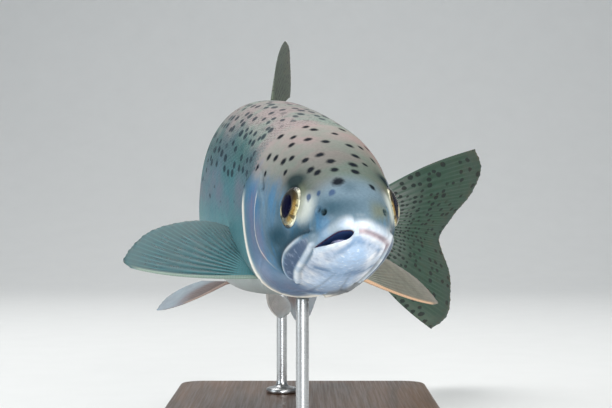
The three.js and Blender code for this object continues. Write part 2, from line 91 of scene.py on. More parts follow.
BARE_DEPTH = 0.45  # how far the bare skin of the head lies inside the solids
SCALED_DEPTH = 0.75  # and the skin under the scales
FIN_SINK = 5.0  # how far a fin's root starts inside the flesh

ROOT_SEED, TONE_SEED, SIZE_SEED, TOOTH_SEED = 11, 5, 3, 7
AWAY = -99.0  # stands for the distance of points out of a line's reach


# ---------------------------------------------------------------- small helpers
def along(table: Rows, x: Array | float) -> Array:
    """Straight-line value of a table of (x, value) rows, held level past its ends."""
    rows = np.asarray(table, dtype=float)
    return np.interp(x, rows[:, 0], rows[:, 1])


def faired(table: Rows, column: int, x: Array | float) -> Array:
    """Smooth value of one column of a table, by a cubic that doesn't overshoot.

    Args:
        table: rows whose first value is the place.
        column: which value of a row to read.
        x: places to read at.

    Returns:
        The values at x.
    """
    rows = np.asarray(table, dtype=float)
    place, value = rows[:, 0], rows[:, column]
    rise = np.diff(value) / np.diff(place)
    product = rise[:-1] * rise[1:]
    total = np.where(product > 0, rise[:-1] + rise[1:], 1.0)
    inner = np.where(product > 0, 2 * product / total, 0.0)
    slope = np.concatenate([rise[:1], inner, rise[-1:]])
    at = np.clip(x, place[0], place[-1])
    i = np.clip(np.searchsorted(place, at), 1, len(place) - 1)
    width = place[i] - place[i - 1]
    t = (at - place[i - 1]) / width
    start = (2 * t**3 - 3 * t**2 + 1) * value[i - 1] + (t**3 - 2 * t**2 + t) * slope[i - 1] * width
    end = (3 * t**2 - 2 * t**3) * value[i] + (t**3 - t**2) * slope[i] * width
    return start + end


def ease(low: float, high: float, x: Array) -> Array:
    """0 below low, 1 above high and an S-curve between them. High may be the smaller one."""
    t = np.clip((np.asarray(x, dtype=float) - low) / (high - low), 0.0, 1.0)
    return t * t * (3 - 2 * t)


def bell(x: Array, width: float) -> Array:
    """A hump of height 1 at x = 0."""
    return np.exp(-((x / width) ** 2))


def hump(a: Array, a_width: float, b: Array, b_width: float) -> Array:
    """A soft round patch of height 1 at a = b = 0."""
    return np.exp(-((a / a_width) ** 2) - (b / b_width) ** 2)


def unit(vectors: Array) -> Array:
    """The same directions at length 1."""
    length = np.linalg.norm(vectors, axis=-1, keepdims=True)
    return vectors / np.maximum(length, 1e-12)


def smooth_line(points: Rows, steps: int = 8) -> Array:
    """A smooth open line through points.

    Args:
        points: corner points, in two or three dimensions.
        steps: straight stretches between two corner points.

    Returns:
        The line's points.
    """
    p = np.asarray(points, dtype=float)
    padded = np.vstack([2 * p[0] - p[1], p, 2 * p[-1] - p[-2]])
    t = np.linspace(0, 1, steps, endpoint=False)[:, None]
    line = []
    for a, b, c, d in zip(padded, padded[1:], padded[2:], padded[3:]):
        line.append(0.5 * (2 * b + (c - a) * t + (2 * a - 5 * b + 4 * c - d) * t**2
                           + (3 * b - a - 3 * c + d) * t**3))
    return np.vstack(line + [p[-1:]])


# ---------------------------------------------------------------- the body's form
class Spine:
    """The curved line through the middle of the body, and the fish's own directions along it."""

    def __init__(self) -> None:
        """Walks the spine in short steps, as the solids do."""
        places, backs, lefts, ups = [], [], [], []
        place = np.array(SNOUT)
        heading = math.radians(HEADING)
        for s in np.arange(0.0, TAIL_TIP + SPINE_STEP / 2, SPINE_STEP):
            back = self._tailwards(s, heading)
            level = unit(np.array([-back[1], back[0], 0.0]))
            plumb = np.cross(back, level)
            roll = math.radians(float(along(ROLL, s)))
            places.append(place.copy())
            backs.append(back)
            lefts.append(-level * math.cos(roll) - plumb * math.sin(roll))
            ups.append(plumb * math.cos(roll) - level * math.sin(roll))
            turn = float(along(BEND, s + SPINE_STEP / 2)) * MM * SPINE_STEP
            place = place + self._tailwards(s + SPINE_STEP / 2, heading + turn / 2) * SPINE_STEP
            heading += turn
        self.stops = tuple(np.array(rows) for rows in (places, lefts, backs, ups))

    @staticmethod
    def _tailwards(s: float, heading: float) -> Array:
        """The direction towards the tail at s, for a spine turned by heading."""
        pitch = math.radians(float(along(PITCH, s)))
        return np.array([-math.sin(heading) * math.cos(pitch), math.cos(heading) * math.cos(pitch),
                         math.sin(pitch)])

    def at(self, s: Array | float) -> tuple[Array, Array, Array, Array]:
        """Reads the spine.

        Args:
            s: places along it.

        Returns:
            The points in millimetres and the left, tailward and up directions there.
        """
        last = len(self.stops[0]) - 1.001
        x = np.clip(np.asarray(s, dtype=float) / SPINE_STEP, 0, last)
        i = x.astype(int)
        t = (x - i)[..., None]
        place, left, back, up = (row[i] * (1 - t) + row[i + 1] * t for row in self.stops)
        return place, unit(left), unit(back), unit(up)

    def bend(self, points: Array) -> Array:
        """Lays straight points along the spine.

        Args:
            points: (..., 3) of left, s and up, in millimetres.

        Returns:
            The same points in the part's frame, in metres.
        """
        place, left, back, up = self.at(points[..., 1])
        before = np.minimum(points[..., 1:2], 0.0)  # ahead of the snout the line runs straight on
        return (place + left * points[..., 0:1] + up * points[..., 2:3] + back * before) * MM


class BodyShape:
    """The body's outer surface as a stack of sections, by s and by the girth from the back's midline."""

    FRACTIONS = 200

    def __init__(self) -> None:
        """Measures every section once and keeps it by its share of the half girth."""
        self.places = np.arange(0.0, STEM_END + 1.0)
        turns = np.linspace(math.pi / 2, -math.pi / 2, 541)
        half, up = self._section(self.places[:, None], turns[None, :])
        steps = np.hypot(np.diff(half, axis=1), np.diff(up, axis=1))
        arc = np.concatenate([np.zeros((len(self.places), 1)), np.cumsum(steps, axis=1)], axis=1)
        self.half_girth = arc[:, -1]
        share = np.linspace(0, 1, self.FRACTIONS + 1)
        self.half = np.array([np.interp(share * a[-1], a, row) for a, row in zip(arc, half)])
        self.up = np.array([np.interp(share * a[-1], a, row) for a, row in zip(arc, up)])

    @staticmethod
    def _section(s: Array, turn: Array) -> tuple[Array, Array]:
        """Points of the smooth sections.

        Args:
            s: places along the spine.
            turn: angles round the section, where a quarter turn is the back.

        Returns:
            Half widths and heights.
        """
        widest = along(WIDEST, s)
        cosine = np.abs(np.cos(turn))
        sine = np.sin(turn)
        upper = sine >= 0
        edge = np.where(upper, faired(SECTIONS, 1, s), faired(SECTIONS, 2, s))
        half = faired(SECTIONS, 3, s) * cosine ** np.where(upper, along(ROOF, s), along(KEEL, s))
        up = widest + (edge - widest) * np.abs(sine) ** np.where(upper, along(ROOF, s), along(FLOOR, s))
        return half, up

    def girth(self, s: Array) -> Array:
        """Distance over the skin from the back's midline to the belly's, at s."""
        return np.interp(s, self.places, self.half_girth)

    def _read(self, table: Array, s: Array, share: Array) -> Array:
        """Reads a table between its rows and columns.

        Args:
            table: half widths or heights, a row for each place.
            s: places along the spine.
            share: shares of the half girth.

        Returns:
            The values there.
        """
        y = np.clip(np.asarray(s, dtype=float), 0, len(self.places) - 1.001)
        x = np.clip(np.asarray(share, dtype=float), 0, 1) * self.FRACTIONS
        x = np.minimum(x, self.FRACTIONS - 0.001)
        i, j = y.astype(int), x.astype(int)
        a, b = y - i, x - j
        near = table[i, j] * (1 - b) + table[i, j + 1] * b
        far = table[i + 1, j] * (1 - b) + table[i + 1, j + 1] * b
        return near * (1 - a) + far * a

    def point(self, s: Array, share: Array, side: Array | float) -> Array:
        """Straight points on the surface.

        Args:
            s: places along the spine.
            share: shares of the half girth.
            side: +1 on the left, -1 on the right.

        Returns:
            The points.
        """
        s = np.asarray(s, dtype=float)
        half = self._read(self.half, s, share)
        return np.stack([side * half, s + np.zeros_like(half), self._read(self.up, s, share)], axis=-1)

    def share_at(self, s: float, up: float) -> float:
        """The share of the half girth at a given height."""
        heights = self.up[int(round(min(max(s, 0.0), STEM_END)))]
        return float(np.interp(-up, -heights, np.linspace(0, 1, self.FRACTIONS + 1)))

    def level(self, s: Array, up: Array) -> Array:
        """How high a point lies in its section.

        Args:
            s: places along the spine.
            up: heights.

        Returns:
            1 at the back, 0 at the widest line and -1 at the belly.
        """
        widest = along(WIDEST, s)
        upper = up >= widest
        edge = np.where(upper, faired(SECTIONS, 1, s), faired(SECTIONS, 2, s))
        return np.where(upper, 1.0, -1.0) * np.clip((up - widest) / (edge - widest), 0, 1)


SPINE = Spine()
SHAPE = BodyShape()


# ---------------------------------------------------------------- meshes and objects
def add_value(mesh: Mesh, name: str, values: Array) -> None:
    """Stores one number or one vector for each vertex.

    Args:
        mesh: the mesh.
        name: the attribute's name.
        values: (n,) or (n, 3).
    """
    kind, field_name = ("FLOAT_VECTOR", "vector") if np.ndim(values) == 2 else ("FLOAT", "value")
    data = mesh.attributes.new(name, kind, "POINT").data
    data.foreach_set(field_name, np.asarray(values, dtype=np.float32).ravel())


def read_vectors(mesh: Mesh, name: str) -> Array:
    """Reads back the vectors that add_value or a node tree stored.

    Args:
        mesh: the mesh that holds them.
        name: what they are stored as.

    Returns:
        One row for each vertex.
    """
    values = np.empty(len(mesh.vertices) * 3, dtype=np.float32)
    mesh.attributes[name].data.foreach_get("vector", values)
    return values.reshape(-1, 3)


def add_uv(mesh: Mesh, name: str, at_vertices: Array) -> None:
    """Gives the mesh a UV map.

    Args:
        mesh: the mesh.
        name: the map's name.
        at_vertices: one (u, v) for each vertex.
    """
    corners = np.empty(len(mesh.loops), dtype=np.int32)
    mesh.loops.foreach_get("vertex_index", corners)
    layer = mesh.uv_layers.new(name=name)
    layer.data.foreach_set("uv", np.asarray(at_vertices, dtype=np.float32)[corners].ravel())


def new_mesh(name: str, points: Array, edges: Sequence[tuple[int, int]] = (),
             faces: Sequence[Sequence[int]] = (), **values: Array) -> Mesh:
    """A smooth-shaded mesh.

    Args:
        name: its name.
        points: (n, 3) in metres.
        edges: vertex indices of edges without faces.
        faces: vertex indices of each face.
        **values: what to store on its vertices.

    Returns:
        The mesh.
    """
    mesh = bpy.data.meshes.new(name)
    corners = [list(map(int, face)) for face in faces]
    mesh.from_pydata(np.asarray(points, dtype=float).tolist(), edges, corners)
    mesh.polygons.foreach_set("use_smooth", np.ones(len(mesh.polygons), dtype=bool))
    for label, value in values.items():
        add_value(mesh, label, value)
    return mesh


def ridden(piece: Object) -> Object:
    """Lets a piece ride on the body and logs it.

    Args:
        piece: the piece.

    Returns:
        The same piece.
    """
    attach(piece, BODY)
    log.info("%s: %d vertices", piece.name, len(piece.data.vertices))
    return piece


def new_piece(name: str, points: Array, faces: Sequence[Sequence[int]], material: Material,
              slot: str = "") -> Object:
    """A smooth-shaded mesh object at the origin.

    Args:
        name: the piece's name.
        points: (n, 3) in metres.
        faces: vertex indices of each face.
        material: its finish.
        slot: a slot's name, not stored, for a piece of the model, which then rides on the body; or nothing
            for a piece that isn't part of the model.

    Returns:
        The new object.
    """
    mesh = new_mesh(name, points, faces=faces)
    mesh.materials.append(material)
    mesh.update()
    piece = bpy.data.objects.new(name, mesh)
    bpy.context.scene.collection.objects.link(piece)
    return ridden(piece) if slot else piece


def grid_faces(rows: int, columns: int, wrap: bool = False) -> list[tuple[int, ...]]:
    """Quads of a grid of points stored row by row.

    Args:
        rows: rows of points.
        columns: points in a row.
        wrap: whether the last column joins the first.

    Returns:
        The faces. They face +z where columns run to +x and rows to +y.
    """
    faces = []
    for i in range(rows - 1):
        for j in range(columns if wrap else columns - 1):
            k = (j + 1) % columns
            faces.append((i * columns + j, i * columns + k, (i + 1) * columns + k, (i + 1) * columns + j))
    return faces


def ring_faces(rings: int, columns: int, poles: bool = False) -> list[tuple[int, ...]]:
    """Faces of a closed form of rings stored one after the other.

    Args:
        rings: how many rings.
        columns: points in a ring.
        poles: whether its ends run to two points that follow the rings. If not, they are flat.

    Returns:
        The faces.
    """
    faces = grid_faces(rings, columns, wrap=True)
    last, count = (rings - 1) * columns, rings * columns
    if not poles:
        return faces + [tuple(reversed(range(columns))), tuple(range(last, count))]
    for j in range(columns):
        k = (j + 1) % columns
        faces += [(k, j, count), (last + j, last + k, count + 1)]
    return faces


def turns(columns: int) -> Array:
    """Angles that share out a full turn."""
    return np.arange(columns) * (2 * math.pi / columns)


# ---------------------------------------------------------------- node helpers
class Nodes:
    """A short way to write a node tree: each call adds one node and returns one of its sockets."""

    def __init__(self, tree: NodeTree) -> None:
        """Starts writing into tree."""
        self.tree = tree

    def feed(self, socket: NodeSocket, value: object) -> None:
        """Links value to a socket, or sets it as a constant.

        Args:
            socket: the input.
            value: another node's socket, a constant, or None to leave the input alone.
        """
        if isinstance(value, NodeSocket):
            self.tree.links.new(value, socket)
        elif value is not None:
            socket.default_value = (*value, 1.0) if socket.type == "RGBA" and len(value) == 3 else value

    def fill(self, node: Node, **values: object) -> None:
        """Feeds a node's inputs by name, with underscores for spaces."""
        for key, value in values.items():
            self.feed(node.inputs[key.replace("_", " ")], value)

    def feed_all(self, node: Node, *values: object) -> Node:
        """Feeds a node's inputs in their order."""
        for socket, value in zip(node.inputs, values):
            self.feed(socket, value)
        return node

    def add(self, kind: str, **given: object) -> Node:
        """Adds a node.

        Args:
            kind: the node's type.
            **given: its inputs, with a capital letter, and its properties, without one.

        Returns:
            The node.
        """
        node = self.tree.nodes.new(kind)
        for key, value in given.items():
            if key[0].isupper():
                self.fill(node, **{key: value})
            else:
                setattr(node, key, value)
        return node

    def math(self, operation: str, *values: object, clamp: bool = False) -> NodeSocket:
        """A Math node.

        Args:
            operation: what it works out.
            *values: its inputs.
            clamp: whether the result stays between 0 and 1.

        Returns:
            The result.
        """
        node = self.add("ShaderNodeMath", operation=operation, use_clamp=clamp)
        return self.feed_all(node, *values).outputs[0]

    def vector(self, operation: str, *values: object) -> Sequence[NodeSocket]:
        """The outputs of a Vector Math node."""
        return self.feed_all(self.add("ShaderNodeVectorMath", operation=operation), *values).outputs

    def plus(self, a: object, b: object, clamp: bool = False) -> NodeSocket:
        """The sum of two values."""
        return self.math("ADD", a, b, clamp=clamp)

    def minus(self, a: object, b: object, clamp: bool = False) -> NodeSocket:
        """The first value less the second."""
        return self.math("SUBTRACT", a, b, clamp=clamp)

    def times(self, *values: object, clamp: bool = False) -> NodeSocket:
        """The product of all values."""
        return reduce(lambda a, b: self.math("MULTIPLY", a, b, clamp=clamp), values)

    def most(self, *values: object) -> NodeSocket:
        """The largest value."""
        return reduce(lambda a, b: self.math("MAXIMUM", a, b), values)

    def swing(self, value: object, by: object) -> NodeSocket:
        """How far a value lies from a half, made larger or smaller."""
        return self.times(self.minus(value, 0.5), by)

    def ramp(self, value: object, low: float, high: float, to: Sequence[float] = (0.0, 1.0),
             interpolation: str = "SMOOTHSTEP") -> NodeSocket:
        """A Map Range node from low..high to the range to, held level past its ends."""
        return self.add("ShaderNodeMapRange", interpolation_type=interpolation, Value=value, From_Min=low,
                        From_Max=high, To_Min=to[0], To_Max=to[1]).outputs[0]

    def mix(self, factor: object, a: object, b: object, blend: str = "MIX") -> NodeSocket:
        """A Mix node on colours.

        Args:
            factor: how much of b there is.
            a: the colour underneath.
            b: the colour on top.
            blend: how they mix.

        Returns:
            The mixed colour.
        """
        node = self.add("ShaderNodeMix", data_type="RGBA", blend_type=blend, clamp_factor=True)
        for index, value in ((0, factor), (6, a), (7, b)):  # its colour inputs are known by number only
            self.feed(node.inputs[index], value)
        return node.outputs[2]

    def layers(self, colour: object, *over: tuple[object, object]) -> object:
        """A colour with more colours mixed over it, each given by its factor and itself."""
        return reduce(lambda under, layer: self.mix(layer[0], under, layer[1]), over, colour)

    def colours(self, value: object, stops: Sequence[tuple[float, Triple]]) -> NodeSocket:
        """A Color Ramp node.

        Args:
            value: the place on the ramp.
            stops: place and colour of each stop.

        Returns:
            The colour.
        """
        node = self.add("ShaderNodeValToRGB", Fac=value)
        ramp = node.color_ramp
        ramp.interpolation = "EASE"
        while len(ramp.elements) < len(stops):
            ramp.elements.new(0.5)
        for element, (at, colour) in zip(ramp.elements, stops):
            element.position = at
            element.color = (*colour, 1.0)
        return node.outputs[0]

    def attribute(self, name: str, output: str = "Vector") -> NodeSocket:
        """A value stored on the mesh."""
        return self.add("ShaderNodeAttribute", attribute_name=name).outputs[output]

    def split(self, vector: NodeSocket) -> tuple[NodeSocket, ...]:
        """The three numbers of a vector."""
        return tuple(self.add("ShaderNodeSeparateXYZ", Vector=vector).outputs)

    def noise(self, at: object, scale: object, detail: float = 3.0, roughness: float = 0.55) -> NodeSocket:
        """A Noise Texture node's value."""
        return self.add("ShaderNodeTexNoise", Vector=at, Scale=scale, Detail=detail,
                        Roughness=roughness).outputs[0]

    def scaled(self, at: object, by: Triple) -> NodeSocket:
        """A Mapping node that scales a place."""
        return self.add("ShaderNodeMapping", Vector=at, Scale=by).outputs[0]

    def place(self) -> NodeSocket:
        """Object coordinates."""
        return self.add("ShaderNodeTexCoord").outputs["Object"]

    def bump(self, height: object, strength: float, distance: float) -> NodeSocket:
        """A Bump node's normal."""
        return self.add("ShaderNodeBump", Height=height, Strength=strength, Distance=distance).outputs[0]

    def cells(self, at: object, by: Triple, scatter: float, size: float, spread: float, ragged: object,
              ) -> tuple[NodeSocket, NodeSocket]:
        """Spots scattered one to a cell.

        Args:
            at: the place.
            by: cells to one unit in each direction.
            scatter: how far the spots stray from their cells' middles.
            size: radius of the smallest spot.
            spread: how much larger the largest one is.
            ragged: what roughens their edges.

        Returns:
            How far inside its spot a place lies, and the spot's chance number.
        """
        cell = self.add("ShaderNodeTexVoronoi", voronoi_dimensions="2D", Scale=1.0, Randomness=scatter,
                        Vector=self.scaled(at, by))
        luck = self.add("ShaderNodeSeparateColor", Color=cell.outputs["Color"]).outputs
        radius = self.math("MULTIPLY_ADD", luck[0], spread, size)
        return self.minus(radius, self.plus(cell.outputs["Distance"], ragged)), luck[1]

    def group(self, tree: NodeTree, **values: object) -> Sequence[NodeSocket]:
        """The outputs of a node group."""
        return self.add("ShaderNodeGroup", node_tree=tree, **values).outputs


class Paint(Nodes):
    """A material with a Principled shader, and a writer into its tree."""

    def __init__(self, name: str, **values: object) -> None:
        """Makes the material.

        Args:
            name: its name.
            **values: plain values of the shader's sockets, with underscores for spaces.
        """
        self.material = bpy.data.materials.new(name)
        self.material.use_nodes = True
        super().__init__(self.material.node_tree)
        self.shader = self.tree.nodes["Principled BSDF"]
        self.set(**{"Coat_Roughness": 0.1, "IOR": 1.45, **values})

    def set(self, **values: object) -> Material:
        """Feeds the shader's sockets and gives the material."""
        self.fill(self.shader, **values)
        return self.material


class Group(Nodes):
    """A node group with a writer into it."""

    def __init__(self, name: str, inputs: dict[str, str], outputs: dict[str, str],
                 kind: str = "Shader") -> None:
        """Starts the group.

        Args:
            name: its name.
            inputs: what each input holds, such as Float.
            outputs: what each output holds.
            kind: Shader or Geometry.
        """
        super().__init__(bpy.data.node_groups.new(name, f"{kind}NodeTree"))
        for way, sockets in (("INPUT", inputs), ("OUTPUT", outputs)):
            for label, holds in sockets.items():
                self.tree.interface.new_socket(label, in_out=way, socket_type=f"NodeSocket{holds}")
        self.given = self.add("NodeGroupInput").outputs
        self.result = self.add("NodeGroupOutput")

    def finish(self, **values: object) -> NodeTree:
        """Feeds the group's outputs and gives its tree."""
        self.fill(self.result, **values)
        return self.tree


# ---------------------------------------------------------------- skin relief
class Side(Enum):
    """One side of the fish, by the sign of x."""

    LEFT = 1
    RIGHT = -1


def side_points(side: Side, rows: Rows) -> Array:
    """Straight points on the skin from side-view rows of (s, up)."""
    return np.array([SHAPE.point(s, SHAPE.share_at(s, up), side.value) for s, up in rows])


def throat_points(side: Side, rows: Rows) -> Array:
    """Straight points on the underside.

    Args:
        side: which side of the fish.
        rows: (s, distance from the midline) of each point.

    Returns:
        The points.
    """
    points = []
    for s, off in rows:
        row = min(int(round(s)), len(SHAPE.places) - 1)
        half = SHAPE.half[row][::-1]
        low = half[: int(np.argmax(half)) + 1]
        share = 1 - float(np.interp(off, low, np.arange(len(low)))) / SHAPE.FRACTIONS
        points.append(SHAPE.point(s, share, side.value))
    return np.array(points)


def skin_line(side: Side, *parts: Array) -> Array:
    """Joins straight points into one smooth line whose left hand is the same on both sides of the fish."""
    line = smooth_line(np.vstack(parts))
    return line if side is Side.LEFT else line[::-1]


def line_distance(line: Array, points: Array, normals: Array, reach: float = 14.0,
                  ) -> tuple[Array, Array]:
    """Signed distance from points of the skin to a line on it.

    Args:
        line: (n, 3) straight points.
        points: (m, 3) straight points.
        normals: outward directions at the points.
        reach: points further off than this get the value AWAY.

    Returns:
        The distances, positive to the left of the line's run as seen from outside, and the nearest points.
    """
    signed = np.full(len(points), AWAY)
    nearest = np.zeros((len(points), 3))
    near = np.all((points > line.min(axis=0) - reach) & (points < line.max(axis=0) + reach), axis=1)
    p, n = points[near], normals[near]
    best = np.full(len(p), reach * reach)
    side = np.full(len(p), AWAY)
    foot = np.zeros((len(p), 3))
    for a, b in zip(line, line[1:]):
        run = b - a
        t = np.clip((p - a) @ run / (run @ run), 0, 1)
        at = a + t[:, None] * run
        off = p - at
        squared = np.einsum("ij,ij->i", off, off)
        nearer = squared < best
        sign = np.sign(np.einsum("ij,ij->i", np.cross(run, off), n))
        best = np.where(nearer, squared, best)
        side = np.where(nearer, sign * np.sqrt(squared), side)
        foot = np.where(nearer[:, None], at, foot)
    signed[near] = side
    nearest[near] = foot
    return signed, nearest


# What the finish is told about each point of the skin, three marks to an attribute.
MARKS = {"marks_a": ("lip", "plate", "rim"), "marks_b": ("cover", "mouth", "silver"),
         "marks_c": ("jaw", "brow", "crease_shade"), "marks_d": ("pink", "spot", "blue"),
         "marks_e": ("hole", "gild", "shade"), "marks_f": ("patch", "wet", "sore")}
UNMARKED = {"spot": 9.0, "blue": 9.0}  # these two hold a distance, in radii of the nearest spot


@dataclass
class SkinPoints:
    """Points of the skin with what the finish needs to know about them."""

    points: Array  # straight, with the relief
    place: Array  # s, girth from the back's midline (positive on the right side), level
    masks: dict[str, Array]

    def table(self) -> Array:
        """Place and masks side by side, one row for each point."""
        masks = [self.masks[name] for names in MARKS.values() for name in names]
        return np.column_stack([self.place] + masks)


@dataclass
class EyePlace:
    """Where an eyeball sits and its size, as the solids have it."""

    s: float = 34.0
    up: float = 4.6
    radius: float = 9.4
    depth: float = 5.6
    bulge: float = 2.4

    def axes(self, side: Side) -> tuple[Array, Array, Array, Array]:
        """The eyeball's place in the straight frame.

        Args:
            side: which eye.

        Returns:
            The point of the skin over it and its tailward, upward and outward directions.
        """
        def skin(ds: float, du: float) -> Array:
            """A point of the skin beside the eye's middle."""
            share = SHAPE.share_at(self.s + ds, self.up + du)
            return SHAPE.point(self.s + ds, share, side.value)

        reach = self.radius / 3
        back = skin(reach, 0) - skin(-reach, 0)
        rise = skin(0, reach) - skin(0, -reach)
        outward = unit(np.cross(back, rise)) * side.value
        back = unit(back)
        above = unit(np.cross(outward, back)) * side.value
        return skin(0, 0), back, above, outward


@dataclass
class Patch:
    """The skin of one side while it is being shaped."""

    one: Side
    p: Array  # points of the smooth form
    n: Array  # their outward directions
    s: Array  # their places along the spine
    masks: dict[str, Array]  # of the whole skin
    mine: Array  # which of the skin's points these are

    def __post_init__(self) -> None:
        """Starts with nothing standing out."""
        self.height = np.zeros(len(self.p))

    def mark(self, name: str, value: Array) -> None:
        """Raises one mask."""
        self.masks[name][self.mine] = np.maximum(self.masks[name][self.mine], value)

    def off(self, rows: Rows, reach: float = 8) -> Array:
        """Signed distance from a line given in the side view."""
        line = skin_line(self.one, side_points(self.one, rows))
        return line_distance(line, self.p, self.n, reach)[0]


@dataclass
class Relief:
    """What stands out of, or sinks into, the smooth form of the body: mouth, bones and gill covers."""

    eye: EyePlace = field(default_factory=EyePlace)
    # The gill cover's free edge, from under the throat round to its top.
    gill_throat: tuple = ((72, 1.2), (82, 3.2), (89, 7.0))
    gill_side: tuple = ((92.6, -36.5), (92.0, -30), (91.2, -22), (92.6, -14), (96, -5), (97.2, 3), (93, 11.5),
                        (84, 17), (74, 15.5), (68, 9.8))
    preopercle: tuple = ((48, -29.5), (60, -27), (68, -20), (72.2, -12), (73, -3), (72.5, 6), (70, 12))
    opercle_seam: tuple = ((73, -22), (80, -25.5), (87, -30), (91.5, -33))
    cheek_bone: tuple = ((20, -2.2), (29, -6), (40, -9), (49, -6), (54, 2), (53, 10))
    cheek_line: tuple = ((47, -13), (56, -11), (63, -6), (66, 3))
    # The upper jaw's bony plate: its upper edge, from its tail end forward.
    plate_top: tuple = ((58.5, -28.6), (57.4, -25), (50.6, -19.8), (42, -14.6), (29.5, -9.1), (19.5, -5.3),
                        (12, -3.7))
    # The mouth from the right corner of the jaw round the snout to the left one: (s, up) beyond the lips.
    mouth_rear: tuple = ((62, -31.6), (55, -28.8), (45, -24.2), (30, -17.7), (21, -13.3))
    mouth_right: tuple = ((-14.3, 15.5, -10.1), (-10.9, 7.5, -6.75), (-7.3, 3.0, -4.3), (-4.4, 1.0, -3.5),
                          (-2.4, 0.2, -2.7), (-1.0, 0.05, -2.3))  # (x, s, up)
    mouth_left: tuple = ((0.8, 0.05, -2.1), (3.0, 0.2, -2.3), (6.8, 2.2, -3.8), (12.5, 9.1, -6.7),
                         (15.2, 14.5, -9.0))
    # Half the gape by the distance right of the midline.
    gape: tuple = ((1.9, 0), (2.15, 0.7), (2.6, 1.25), (3.4, 1.75), (4.6, 2.15), (6, 2.3), (7.6, 2.2),
                   (10.9, 1.5), (13, 0.8), (14.8, 0))
    pocket: float = 11.0  # how deep the mouth goes in
    jaw_setback: float = 1.6
    jaw_border: tuple = ((12, 1.4), (18, 2.4), (32.7, 3.6), (60, 6), (72, 9.5), (84, 13.5))
    # The two nostrils of a side: s, up, depth, how dark the painted shade in the hole is, and where that
    # shade begins and is full.
    nostrils: tuple = ((9.4, 4.4, 1.9, 1.0, 1.75, 1.1), (12.6, 5.2, 1.2, 0.75, 1.1, 0.6))
    # Dark spots on the head: s, girth (positive on the right) and radius.
    spots: tuple = (
        (84, 18.6, 1.8), (74.4, 14, 1.7), (76, 28, 1.8), (68.2, 25.4, 1.7), (59.6, 22.9, 1.8),
        (55.9, 18.9, 1.6), (67.3, 16.3, 1.7), (65.7, 8.8, 1.8), (78, 3.7, 1.9), (60, 2.1, 1.9),
        (83.8, 6.2, 1.7), (57.5, -8, 1.9), (83.6, -10.5, 1.8), (45.2, 7.4, 2.0), (46, 14.1, 1.8),
        (36.6, 4.5, 2.0),
        (44.6, -8, 2.0), (33.2, -4.3, 2.0), (36, 13.8, 1.9), (31, 11.6, 1.7), (28.5, 4.5, 1.7),
        (26.6, -3.9, 1.8), (19, 4.9, 2.6), (35.7, -20.2, 1.6), (54.5, -19.4, 1.8), (37.9, -10.8, 1.4),
        (70, -20, 1.7), (66, -30, 1.6), (79, -27, 1.7), (50, -28, 1.5), (72, -4.5, 1.6),
        (51, 24.5, 1.4), (84, 36, 1.6), (70, 34, 1.3), (18, -9.5, 1.5), (62, -14.5, 1.6))
    blue_spots: tuple = ((13.8, 8.7, 1.6), (22.2, 19.4, 1.7), (18.5, 14.3, 1.2))

    def __post_init__(self) -> None:
        """Lays the mouth's line round the snout."""
        right = side_points(Side.RIGHT, self.mouth_rear)
        left = side_points(Side.LEFT, self.mouth_rear[::-1])
        self.mouth = smooth_line(np.vstack([right, self.mouth_right, self.mouth_left, left]), 10)

    def gill_edge(self, one: Side) -> Array:
        """The free edge of one gill cover."""
        return skin_line(one, throat_points(one, self.gill_throat), side_points(one, self.gill_side))

    @staticmethod
    def form(s: Array, share: Array, side: Array) -> Array:
        """Points of the smooth form, with the tail stem's end thinned to the fin that grows out of it.

        Args:
            s: places along the spine.
            share: shares of the half girth.
            side: +1 on the left, -1 on the right.

        Returns:
            The points.
        """
        points = SHAPE.point(s, share, side)
        points[:, 0] *= 1 - 0.70 * ease(402, STEM_END, s)
        return points

    def base(self, s: Array, share: Array, side: Array) -> tuple[Array, Array]:
        """The smooth form with the snout's cap.

        Args:
            s: places along the spine.
            share: shares of the half girth.
            side: +1 on the left, -1 on the right.

        Returns:
            Points and outward directions.
        """
        size = 1 + np.minimum(s, 0)[:, None]  # places before 0 are rings of the snout's flat cap
        s = np.maximum(s, 0)
        points = self.form(s, share, side)
        along_s = self.form(s + 0.4, share, side) - self.form(np.maximum(s - 0.4, 0), share, side)
        around = (self.form(s, np.minimum(share + 0.006, 1), side)
                  - self.form(s, np.maximum(share - 0.006, 0), side))
        normals = unit(np.cross(around, along_s) * np.reshape(side, (-1, 1)))
        middle, ahead = np.array([0.0, 0.0, -1.0]), np.array([0.0, -1.0, 0.0])
        return middle + (points - middle) * size, unit(ahead * (1 - size**2) + normals * size**2)

    def at(self, s: Array, share: Array, side: Array) -> SkinPoints:
        """Works out the finished skin at the given places.

        Args:
            s: places along the spine.
            share: shares of the half girth.
            side: +1 on the left, -1 on the right.

        Returns:
            The skin's points, places and masks.
        """
        p, n = self.base(s, share, side)
        height = -BARE_DEPTH - (SCALED_DEPTH - BARE_DEPTH) * ease(84, 100, s)
        p_s = np.maximum(s, 0)
        masks = {name: np.full(len(s), UNMARKED.get(name, 0.0)) for names in MARKS.values() for name in names}
        shift = np.zeros_like(p)
        for one in Side:
            mine = np.where(side == one.value)[0]
            if len(mine):
                patch = Patch(one, p[mine], n[mine], p_s[mine], masks, mine)
                self._gill_cover(patch)
                self._jaws(patch)
                self._round_the_eye(patch)
                self._snout(patch)
                height[mine] += patch.height
        height += self._mouth(p, n, p_s, masks, shift)
        s = np.maximum(s, 0)
        across = -side * share * SHAPE.girth(s)
        for name, spots in (("spot", self.spots), ("blue", self.blue_spots)):
            for s0, g0, radius in spots:
                masks[name] = np.minimum(masks[name], np.hypot((s - s0) / 1.1, across - g0) / radius)
        level = SHAPE.level(s, p[:, 2])
        points = p + n * height[:, None] + shift
        ahead = np.maximum(0.6 - points[:, 1], 0.0)
        points[:, 1] += 0.45 * ahead  # the lips stay behind the tip of the smooth form
        return SkinPoints(points, np.stack([s, across, level], axis=1), masks)

